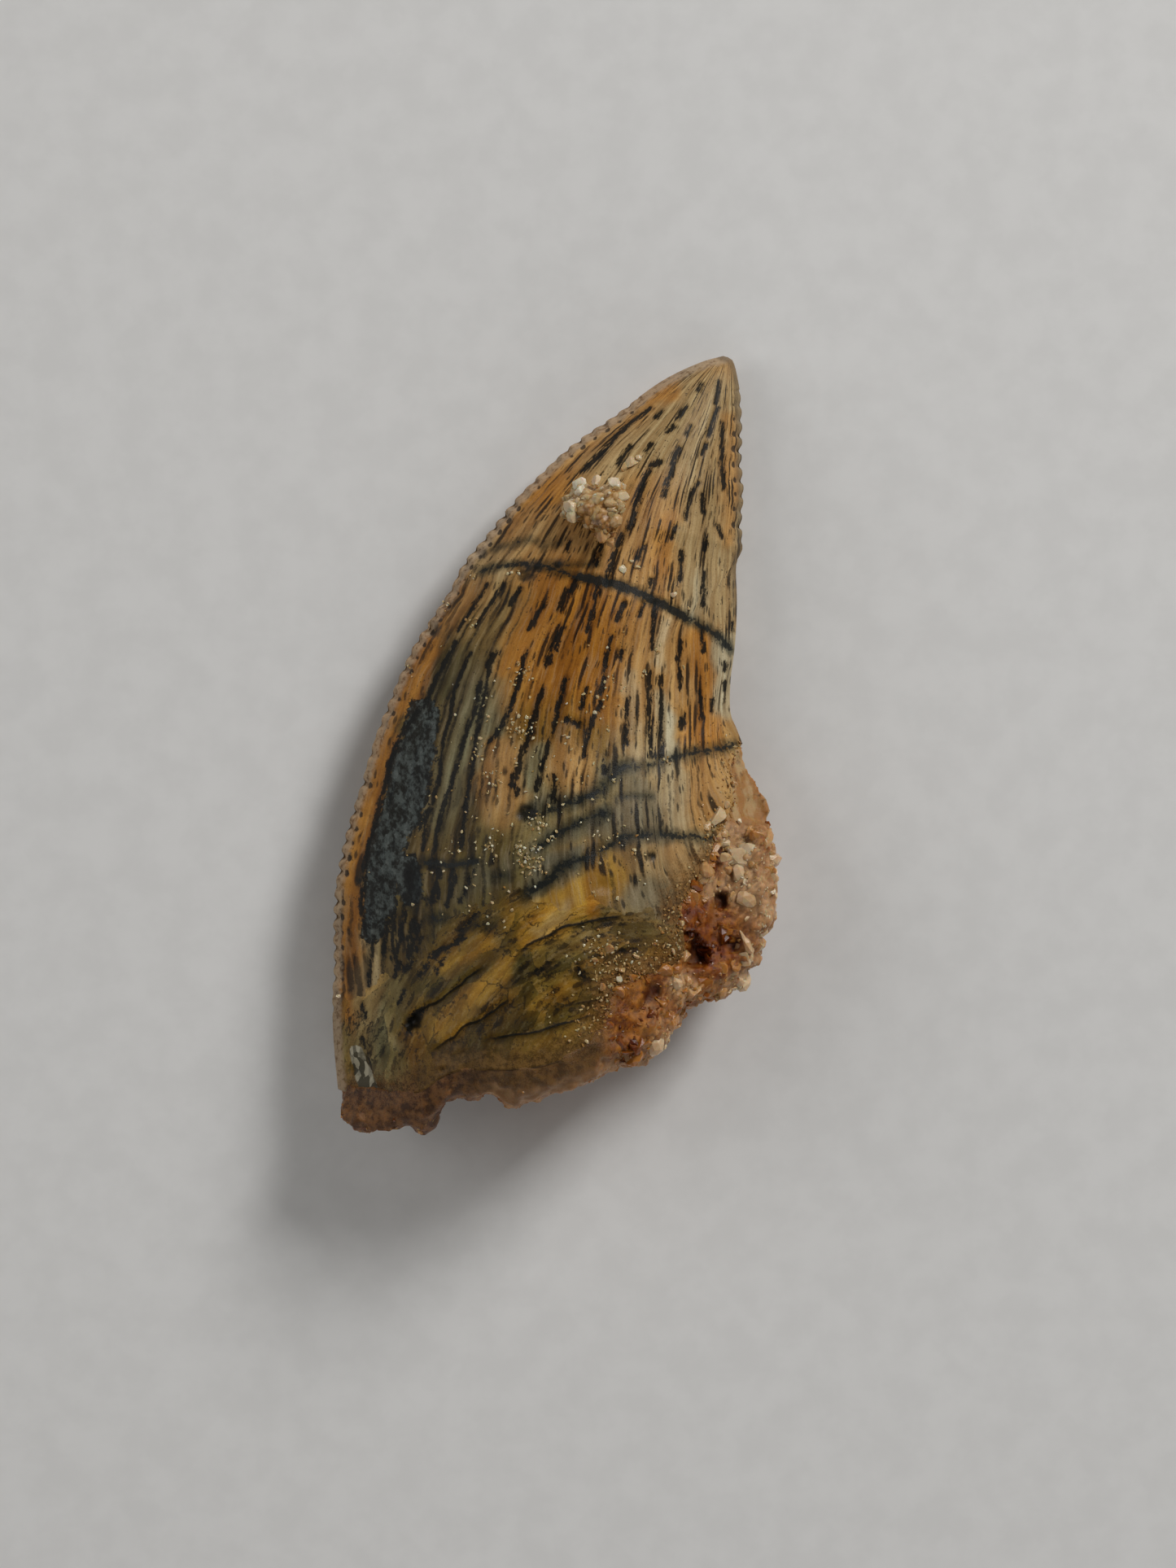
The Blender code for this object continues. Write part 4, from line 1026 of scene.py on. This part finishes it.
sand_points, sand_normals, sand_faces = finer("sandstone", "base_sandstone", SKIN_VOXEL, onto_the_break)
height, joint = grainy(sand_points, GRAIN_SIZE)
knobs = fractal(sand_points, 0.9, 3)
hollow = np.zeros(len(sand_points))
for x, y, radius, depth in HOLLOWS:
    near = np.hypot(*(sand_points[:, :2] - (x, y)).T) / radius + 0.2 * knobs
    near = near + 2.0 * (sand_points[:, 2] < 2.4)
    hollow = np.maximum(hollow, smooth(near, 1.0, 0.4))
    sand_points[:, 2] -= depth * smooth(near, 1.0, 0.4)
lumps = fractal(sand_points + 9.0, 0.5, 2)
plain = smooth(sand_points[:, 0] + 0.3 * knobs, 2.1, 1.1)
plain = np.maximum(plain, smooth(sand_points[:, 1] + 0.3 * knobs, -2.9, -2.2))
bare = plain * (0.25 + 0.75 * smooth(sand_normals[:, 2], 0.0, 0.45))
upper = smooth(sand_points[:, 1] + 0.2 * knobs, -2.8, -2.2)
relief = (GRAIN_RELIEF * (height - 0.6) - 0.03 * joint) * (1 - 0.8 * bare) + 0.13 * knobs + 0.10 * lumps
near_break = smooth(measure(break_line, sand_points[:, :2])[0], 0.6, 0.1) * (sand_normals[:, 2] > 0.3)
relief *= 1 - np.maximum(0.6 * upper, 0.8 * near_break)
cluster = np.zeros(len(sand_points))
for x, y, reach, paler in PALE_CLUSTERS:
    cluster += paler * hill(np.hypot(*(sand_points[:, :2] - (x, y)).T), 0.0, reach)
sand_points += sand_normals * relief[:, None]
sand_points[:, 2] = np.maximum(sand_points[:, 2], 0.02)
sandstone = mesh_object("base_sandstone_skin", sand_points, sand_faces)
# A pale rind at the upper end and down the outer wall, and rust where the sandstone is only a thin skin
rust = smooth(sand_points[:, 0] + 0.4 * knobs, -1.6, -3.4)
rind = smooth(sand_normals[:, 2] + 0.2 * knobs, 0.85, 0.40)
rind *= smooth(sand_normals[:, 2] + 0.3 * knobs, -0.3, 0.25) * 0.85 * (1 - rust)
glow = hill(measure(np.array(RED_GLOW), sand_points[:, :2])[0], 0.0, RED_GLOW_REACH)
glow = glow * (sand_normals[:, 2] > 0.2)
sand_measures = {
    "grain": height, "joint": joint, "hollow": hollow,
    "from_break": measure(break_line, sand_points[:, :2])[0],
    "glow": glow, "rind": rind, "rust": rust, "cluster": cluster, "upper": upper,
    "plain": bare * (sand_points[:, 1] < -4.0),
}
for name, values in sand_measures.items():
    store(sandstone, name, values)

# The sandstone's looks: iron-brown sand with dark joints, smooth brown stone along the bottom, a pale rind,
# a streaked upper end, a red glow in the middle, red-brown hollows darkened with painted shade, and rust
# where the stone is thin.
sand, start, place = new_material("iron_sandstone")
grain, joint_dark = attribute(start, "grain"), attribute(start, "joint")
hollow_mask, from_break = attribute(start, "hollow"), attribute(start, "from_break")
patches = place.noise(0.9, 3.0)
tone = place.noise(3.2, 4.0, 0.65)
grit = place.noise(24.0, 3.0, 0.7)
cell_value = place.cell_value(1 / GRAIN_SIZE)
colour = tone.ramp(0.38, 0.62).mix((0.19, 0.046, 0.002), (0.48, 0.180, 0.014))
colour = (patches.ramp(0.48, 0.62) * 0.5).mix(colour, (0.50, 0.225, 0.035))
colour = (cell_value.ramp(0.55, 0.95) * 0.25).mix(colour, (0.50, 0.28, 0.10))
colour = (from_break.ramp(1.3, 2.2) * 0.45).mix(colour, (0.56, 0.33, 0.16))
colour = (attribute(start, "cluster") + tone.swing(0.6)).ramp(0.05, 0.50).mix(colour, (0.60, 0.38, 0.20))
colour = (joint_dark * 0.55).mix(colour, (0.07, 0.015, 0.002))
smooth_colour = (tone * 0.7 + grit * 0.3).ramp(0.40, 0.60).mix((0.075, 0.038, 0.009), (0.190, 0.100, 0.028))
smooth_colour = (from_break.ramp(0.35, 0.90) * 0.6).mix(smooth_colour, (0.30, 0.165, 0.072))
colour = attribute(start, "plain").mix(colour, smooth_colour)
rind_colour = tone.ramp(0.35, 0.65).mix((0.38, 0.190, 0.070), (0.58, 0.38, 0.21))
colour = (attribute(start, "rind") * 0.80).mix(colour, rind_colour)
grown = place.stretch(1.0, 0.30, 1.0).noise(3.0, 3.0, 0.6).ramp(0.42, 0.60)
grown = grown.mix((0.40, 0.200, 0.055), (0.50, 0.345, 0.165))
grown = (tone.ramp(0.56, 0.70) * 0.7).mix(grown, (0.14, 0.075, 0.025))
colour = attribute(start, "upper").mix(colour, grown)
glow_colour = tone.ramp(0.4, 0.6).mix((0.14, 0.022, 0.002), (0.30, 0.085, 0.008))
colour = (attribute(start, "glow") * 0.85).mix(colour, glow_colour)
# The hollows: the stone's own red-brown, darkened with painted shade
colour = (hollow_mask * 0.80).mix(colour, (0.045, 0.006, 0.001))
rust_colour = (tone * 0.75 + grit * 0.25).ramp(0.40, 0.60).mix((0.050, 0.015, 0.003), (0.24, 0.110, 0.034))
colour = (attribute(start, "rust") * 0.75).mix(colour, rust_colour)
colour = colour.times((0.6, 0.55, 0.5), grit.ramp(0.52, 0.7) * 0.5)
bump = start.node("Bump", None, {"Strength": 0.6, "Distance": 0.04 * MM, "Height": grit})
finish_material(start, sandstone, sand, {
    "Base Color": colour.times((0.96, 0.88, 0.78)), "Roughness": 0.16 + 0.30 * grit,
    "Specular IOR Level": 0.30, "Normal": bump,
    "Subsurface Weight": 0.35, "Subsurface Radius": (1.0, 0.35, 0.12), "Subsurface Scale": 0.3 * MM,
})
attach(sandstone, "root")
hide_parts("base_sandstone")

# Grains of quartz sand on the sandstone's skin: angular, glassy, and paler towards the outer rim. Small ones
# cover it like sugar, and larger ones stand among them.
FINE_GRAINS = 3000
FINE_RADIUS = (0.06, 0.13)
GRAIN_SUNK = 0.60
GRAIN_STRETCH = (0.75, 1.25)
CHIPS_PER_GRAIN = 8
CHIP_LEVEL = (0.34, 0.72)
LARGE_GRAINS = 420
LARGE_RADIUS = (0.17, 0.46)
dice = np.random.default_rng(12)


def ball(subdivisions):
    """Points and faces of a round grain of radius 1."""
    grain = bmesh.new()
    bmesh.ops.create_icosphere(grain, subdivisions=subdivisions, radius=1.0)
    points = np.array([v.co[:] for v in grain.verts])
    faces = np.array([[v.index for v in f.verts] for f in grain.faces])
    grain.free()
    return points, faces


def crystals(name, centres, radii, tones, squash=1.0, subdivisions=2):
    """One mesh of angular grains, each one turned, stretched and chipped in its own way."""
    count = len(centres)
    ball_points, ball_faces = ball(subdivisions)
    turns = dice.normal(size=(count, 4))
    turns /= np.linalg.norm(turns, axis=1)[:, None]
    w, x, y, z = turns.T
    turn = np.stack([
        np.stack([1 - 2 * (y * y + z * z), 2 * (x * y - w * z), 2 * (x * z + w * y)], 1),
        np.stack([2 * (x * y + w * z), 1 - 2 * (x * x + z * z), 2 * (y * z - w * x)], 1),
        np.stack([2 * (x * z - w * y), 2 * (y * z + w * x), 1 - 2 * (x * x + y * y)], 1),
    ], 1)
    shape = np.broadcast_to(ball_points, (count, *ball_points.shape)).copy()
    for _ in range(CHIPS_PER_GRAIN):
        facet = dice.normal(size=(count, 1, 3))
        facet /= np.linalg.norm(facet, axis=2)[..., None]
        level = dice.uniform(*CHIP_LEVEL, (count, 1, 1))
        proud = (shape * facet).sum(2, keepdims=True) - level
        shape -= np.maximum(proud, 0) * facet
    shape *= dice.uniform(*GRAIN_STRETCH, (count, 1, 3)) * (1.0, 1.0, squash)
    shape = np.einsum("nij,nkj->nki", turn, shape) * radii[:, None, None] + centres[:, None]
    shape[..., 2] = np.maximum(shape[..., 2], 0.02)
    faces = ball_faces[None] + (np.arange(count) * len(ball_points))[:, None, None]
    piece = mesh_object(name, shape.reshape(-1, 3), faces.reshape(-1, 3).tolist())
    piece.data.shade_flat()
    store(piece, "tone", np.repeat(tones, len(ball_points)))
    return piece


def coat_with_quartz(piece, name, stops):
    """Glassy sand on a piece: each grain's own tone, from the darkest stop to the palest."""
    material, start, place = new_material(name)
    tone = attribute(start, "tone")
    haze, grit = place.noise(5.0, 3.0), place.noise(30.0, 3.0, 0.7)
    colour = start.node("ValToRGB", {"stops": stops}, {0: tone + haze.swing(0.35)})
    colour = colour.times((0.62, 0.58, 0.55), grit.ramp(0.5, 0.7) * 0.4)
    bump = start.node("Bump", None, {"Strength": 0.35, "Distance": 0.03 * MM, "Height": grit})
    finish_material(start, piece, material, {
        "Base Color": colour, "Roughness": 0.07 + 0.22 * grit, "Specular IOR Level": 0.50, "Normal": bump,
        "Subsurface Weight": 0.4, "Subsurface Radius": (1.0, 0.4, 0.15), "Subsurface Scale": 0.3 * MM,
    })


SAND_STOPS = [
    (0.0, (0.09, 0.014, 0.001)), (0.22, (0.24, 0.068, 0.006)), (0.45, (0.42, 0.170, 0.028)),
    (0.68, (0.56, 0.320, 0.13)), (1.0, (0.76, 0.58, 0.38)),
]
outline_gap = measure(break_line, sand_points[:, :2])[0]
open_skin = (sand_normals[:, 2] > -0.35) & (sand_points[:, 2] > 0.25) & (hollow < 0.7)
open_skin &= ((outline_gap > 0.05) & (upper < 0.3)) | (sand_normals[:, 2] > 0.2)
open_skin &= dice.random(len(sand_points)) > 0.97 * bare
steep = 1 - np.clip(sand_normals[:, 2], 0, 1)
skin_tone = 0.28 + 0.18 * steep + 0.24 * knobs + 0.24 * smooth(outline_gap, 1.2, 2.2)
skin_tone += cluster - 0.20 * smooth(sand_points[:, 2], 1.8, 0.6)
skin_tone -= 0.10 * smooth(sand_points[:, 1], -6.8, -8.6)
# Grains at the edges of the hollows are darkened with painted shade
skin_tone = np.minimum(skin_tone, 0.88) + 0.10 * plain - 0.45 * hollow - 0.30 * glow
for kind, count, (least, most), subdivisions in (
    ("fine", FINE_GRAINS, FINE_RADIUS, 1), ("large", LARGE_GRAINS, LARGE_RADIUS, 2),
):
    allowed = open_skin & ((kind == "fine") | (plain < 0.4))
    chosen = dice.choice(np.flatnonzero(allowed), count, replace=False)
    radii = least + (most - least) * dice.random(count) ** 2
    centres = sand_points[chosen] - sand_normals[chosen] * (GRAIN_SUNK * radii)[:, None]
    tones = np.clip(skin_tone[chosen] + dice.normal(0, 0.09, count), 0, 1)
    sand_grains = crystals(f"base_sandstone_{kind}_grains", centres, radii, tones, 1.0, subdivisions)
    coat_with_quartz(sand_grains, f"sandstone_{kind}_quartz", SAND_STOPS)
    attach(sand_grains, "root")

# The small lump of sandstone stuck to the crown near the tip: pale quartz above, iron-stained below, with
# painted light making its top and upper end paler still. It grew on the enamel, so its skin is carried down
# onto it.
LUMP_VOXEL = 0.06
LUMP_GAP = 0.4
LUMP_GRAINS = 95
LUMP_RADIUS = (0.08, 0.24)
LUMP_GRAIN_SUNK = 0.45
# Its clear crystals: x, y, radius, tone
LUMP_CRYSTALS = [
    (0.66, 7.86, 0.30, 1.0), (0.74, 7.60, 0.24, 0.95), (0.44, 7.05, 0.28, 0.80), (0.52, 6.78, 0.22, 0.72),
    (1.25, 7.85, 0.26, 0.78), (1.75, 7.80, 0.26, 0.85), (2.00, 7.40, 0.26, 0.78), (1.30, 7.35, 0.20, 0.95),
    (1.35, 6.20, 0.26, 0.35), (1.65, 5.95, 0.22, 0.45), (1.05, 6.65, 0.24, 0.28), (1.80, 6.60, 0.22, 0.50),
]


def onto_the_enamel(p):
    """Carries the solid's under side and the foot of its wall across its gap into the enamel."""
    edge, up, _ = swell(p[:, :2])
    over_enamel = p[:, 2] - edge - EDGE_HALF_THICKNESS - up
    p[:, 2] -= LUMP_GAP * smooth(over_enamel, 0.50, 0.36)
    return p


lump_points, lump_normals, lump_faces = finer("lump", "crown_lump", LUMP_VOXEL, onto_the_enamel)
height, joint = grainy(lump_points + 7.0, 0.26)
lump_points += lump_normals * (0.10 * (height - 0.6) - 0.02 * joint)[:, None]
lump = mesh_object("crown_lump_skin", lump_points, lump_faces)
lump_centre = lump_points.mean(0)


def lump_tone(p):
    """Paler towards the upper left, where the quartz is clean; the paler upper end and top are partly painted
    light.
    """
    away = p - lump_centre
    return 0.55 + 0.30 * (away[:, 1] - 0.45 * away[:, 0]) + 0.12 * away[:, 2]


store(lump, "tone", np.clip(lump_tone(lump_points) - 0.15 - 0.3 * joint, 0, 1))
LUMP_STOPS = [
    (0.0, (0.16, 0.062, 0.010)), (0.3, (0.40, 0.205, 0.060)), (0.55, (0.56, 0.380, 0.18)),
    (0.8, (0.66, 0.520, 0.33)), (1.0, (0.80, 0.720, 0.56)),
]
coat_with_quartz(lump, "lump_skin", LUMP_STOPS)
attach(lump, "root")
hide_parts("crown_lump")
shown = np.flatnonzero((lump_normals[:, 2] > -0.2) & (lump_points[:, 2] > lump_points[:, 2].min() + 0.25))
chosen = dice.choice(shown, LUMP_GRAINS, replace=False)
least, most = LUMP_RADIUS
radii = least + (most - least) * dice.random(LUMP_GRAINS) ** 2
centres = lump_points[chosen] - lump_normals[chosen] * (LUMP_GRAIN_SUNK * radii)[:, None]
tones = lump_tone(centres) + dice.normal(0, 0.12, LUMP_GRAINS)
clear = np.array(LUMP_CRYSTALS)
below = 0.3 * (lump_centre[2] - lump_points[:, 2])
nearest = [np.argmin(np.hypot(*(lump_points[:, :2] - point).T) + below) for point in clear[:, :2]]
heights = lump_points[nearest, 2] - 0.3 * clear[:, 2]
centres = np.vstack([centres, np.column_stack([clear[:, :2], heights])])
radii = np.concatenate([radii, clear[:, 2]])
tones = np.concatenate([tones, clear[:, 3]])
lump_grains = crystals("crown_lump_grains", centres, radii, np.clip(tones, 0, 1))
coat_with_quartz(lump_grains, "lump_quartz", LUMP_STOPS)
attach(lump_grains, "root")

# Loose sand grains and flaky crusts that cling to the enamel. Quartz sand, held by a little iron and clay in
# the pits and streaks, and thick along the break. Loose grains: x, y, radius, tone from brown 0 to white 1.
LOOSE = [
    (2.04, 5.20, 0.18, 1.0), (2.30, 5.42, 0.14, 0.9), (2.49, 5.25, 0.12, 0.8), (3.54, 4.43, 0.17, 0.9),
    (4.04, 4.00, 0.12, 0.7), (2.30, 8.50, 0.30, 0.75), (2.10, 8.35, 0.20, 0.6), (2.50, 8.62, 0.18, 0.9),
    (4.91, -2.38, 0.38, 0.8), (5.61, -2.48, 0.14, 1.0), (5.14, -3.58, 0.24, 0.7), (1.91, -7.18, 0.16, 1.0),
    (3.54, -6.38, 0.12, 0.8), (3.79, -5.53, 0.14, 0.7), (-6.66, -7.83, 0.12, 0.8),
    (4.6, -2.6, 0.2, 0.6), (5.2, -2.0, 0.2, 0.7), (5.45, -1.3, 0.14, 0.6), (1.2, -6.6, 0.2, 0.5),
    (1.6, -6.3, 0.22, 0.45), (2.0, -6.9, 0.18, 0.5), (1.4, -7.4, 0.2, 0.4), (2.4, -6.5, 0.16, 0.55),
]
BREAK_CRUST = 420
BREAK_CRUST_FROM = 0.46
BREAK_CRUST_SPREAD = 0.24
CRUST_RADIUS = (0.03, 0.09)
OFF_THE_ENAMEL = 0.07
# Patches of crust: x, y, reach, how many grains
CRUSTS = [
    (1.9, -6.9, 0.9, 110), (3.4, -6.2, 0.6, 60), (1.2, -6.2, 0.6, 30), (4.9, -2.6, 0.5, 50),
    (0.9, -8.6, 0.7, 40),
    (-0.77, -3.65, 0.40, 60), (-1.09, 2.0, 0.26, 18), (-1.09, 0.40, 0.36, 34), (-2.34, -0.25, 0.24, 14),
    (-1.96, -1.30, 0.26, 14), (-0.52, -2.38, 0.30, 22), (-1.09, -3.25, 0.20, 12), (-1.96, -3.20, 0.24, 14),
    (-1.0, -0.8, 2.6, 90), (-2.5, -4.0, 1.8, 50), (1.5, 1.5, 1.6, 30), (1.8, -3.4, 1.0, 30),
    (1.79, -1.25, 0.18, 6), (1.66, 1.88, 0.16, 5), (3.41, -0.70, 0.16, 5), (2.66, 2.0, 0.18, 6),
    (3.09, 2.75, 0.16, 6), (-1.29, 5.13, 0.16, 5), (-0.21, -2.95, 0.18, 6), (-3.4, 4.2, 0.16, 5),
    (-2.6, 5.0, 0.16, 5), (-2.5, 3.6, 0.2, 7), (-4.6, 2.2, 0.2, 6),
]


def enamel_height(q):
    """The crown's height at each place, from the nearest point of its upper face."""
    return np.array([top_z[np.argmin(((top_q - point) ** 2).sum(1))] for point in q])


loose = np.array(LOOSE)
centres = np.column_stack([loose[:, :2], enamel_height(loose[:, :2]) + 0.1 * loose[:, 2]])
loose_grains = crystals("loose_grains", centres, 0.8 * loose[:, 2], 0.85 * loose[:, 3])
coat_with_quartz(loose_grains, "loose_quartz", LUMP_STOPS)
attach(loose_grains, "root")

in_patches = np.vstack([(x, y) + dice.normal(0, reach * 0.6, (count, 2)) for x, y, reach, count in CRUSTS])
along = BREAK_CRUST_FROM + (1 - BREAK_CRUST_FROM) * dice.random(BREAK_CRUST)
by_the_edge = at_share(break_line, along) + dice.normal(0, BREAK_CRUST_SPREAD, (BREAK_CRUST, 2))
places = np.vstack([in_patches, by_the_edge])
gap_to_crown = np.array([((top_q - point) ** 2).sum(1).min() ** 0.5 for point in places])
places = places[gap_to_crown < OFF_THE_ENAMEL]
centres = np.column_stack([places, enamel_height(places) + 0.01])
radii = dice.uniform(*CRUST_RADIUS, len(places))
by_the_break = np.exp(-measure(break_line, places)[0] / 0.8)
tones = np.clip(dice.normal(0.62, 0.16, len(places)) - 0.38 * by_the_break, 0, 1)
crusts = crystals("flaky_crusts", centres, radii, tones, 0.6, 1)
coat_with_quartz(crusts, "crust", LUMP_STOPS)
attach(crusts, "root")

# The camera, straight above the tooth, which lies on the floor. The picture is 1445 by 1927 pixels, and 40 of
# them are one millimetre.
PICTURE_HEIGHT = 1927 / 40
PICTURE_CENTRE = (0.975, -1.3375)
LENS = 100.0
SENSOR = 36.0
EDGE_LEVEL = 2.0
distance = PICTURE_HEIGHT * LENS / SENSOR
camera_data = bpy.data.cameras.new("camera")
camera_data.lens, camera_data.sensor_width, camera_data.clip_start = LENS, SENSOR, 0.01
camera = bpy.data.objects.new("camera", camera_data)
camera.location = Vector((*PICTURE_CENTRE, distance + EDGE_LEVEL)) * MM
bpy.context.scene.collection.objects.link(camera)
bpy.context.scene.camera = camera

# A plain pale floor of paper, and plain soft studio light: one key light from the upper right, and two large
# weak lights that fill the shadows. The floor's half width is in metres.
FLOOR_HALF = 0.6
floor_mesh = bpy.data.meshes.new("floor")
corners = [(x * FLOOR_HALF, y * FLOOR_HALF, 0.0) for x, y in ((-1, -1), (1, -1), (1, 1), (-1, 1))]
floor_mesh.from_pydata(corners, [], [(0, 1, 2, 3)])
floor = bpy.data.objects.new("floor", floor_mesh)
bpy.context.scene.collection.objects.link(floor)
paper, start, place = new_material("pale_floor")
weave = place.noise(0.8, 3.0)
colour = weave.ramp(0.3, 0.7).mix((0.76, 0.75, 0.73), (0.80, 0.79, 0.77))
finish_material(start, floor, paper, {"Base Color": colour, "Roughness": 0.9, "Specular IOR Level": 0.2})

# Each light: name, place in metres, size in metres, power in watts
LIGHTS = [
    ("key_light", (0.17, 0.19, 0.16), 0.10, 0.62),
    ("fill_light", (-0.24, 0.05, 0.16), 0.20, 0.20),
    ("low_light", (0.04, -0.26, 0.13), 0.18, 0.14),
]
WORLD_COLOUR = (1.0, 0.98, 0.95, 1.0)
WORLD_STRENGTH = 0.09
for name, place_m, size, power in LIGHTS:
    lamp = bpy.data.lights.new(name, "AREA")
    lamp.size, lamp.energy = size, power
    light = bpy.data.objects.new(name, lamp)
    light.location = place_m
    light.rotation_euler = (-Vector(place_m)).to_track_quat("-Z", "Y").to_euler()
    bpy.context.scene.collection.objects.link(light)
world = bpy.data.worlds.new("studio")
world.use_nodes = True
world.node_tree.nodes["Background"].inputs["Color"].default_value = WORLD_COLOUR
world.node_tree.nodes["Background"].inputs["Strength"].default_value = WORLD_STRENGTH
bpy.context.scene.world = world
bpy.context.scene.view_settings.view_transform = "Standard"
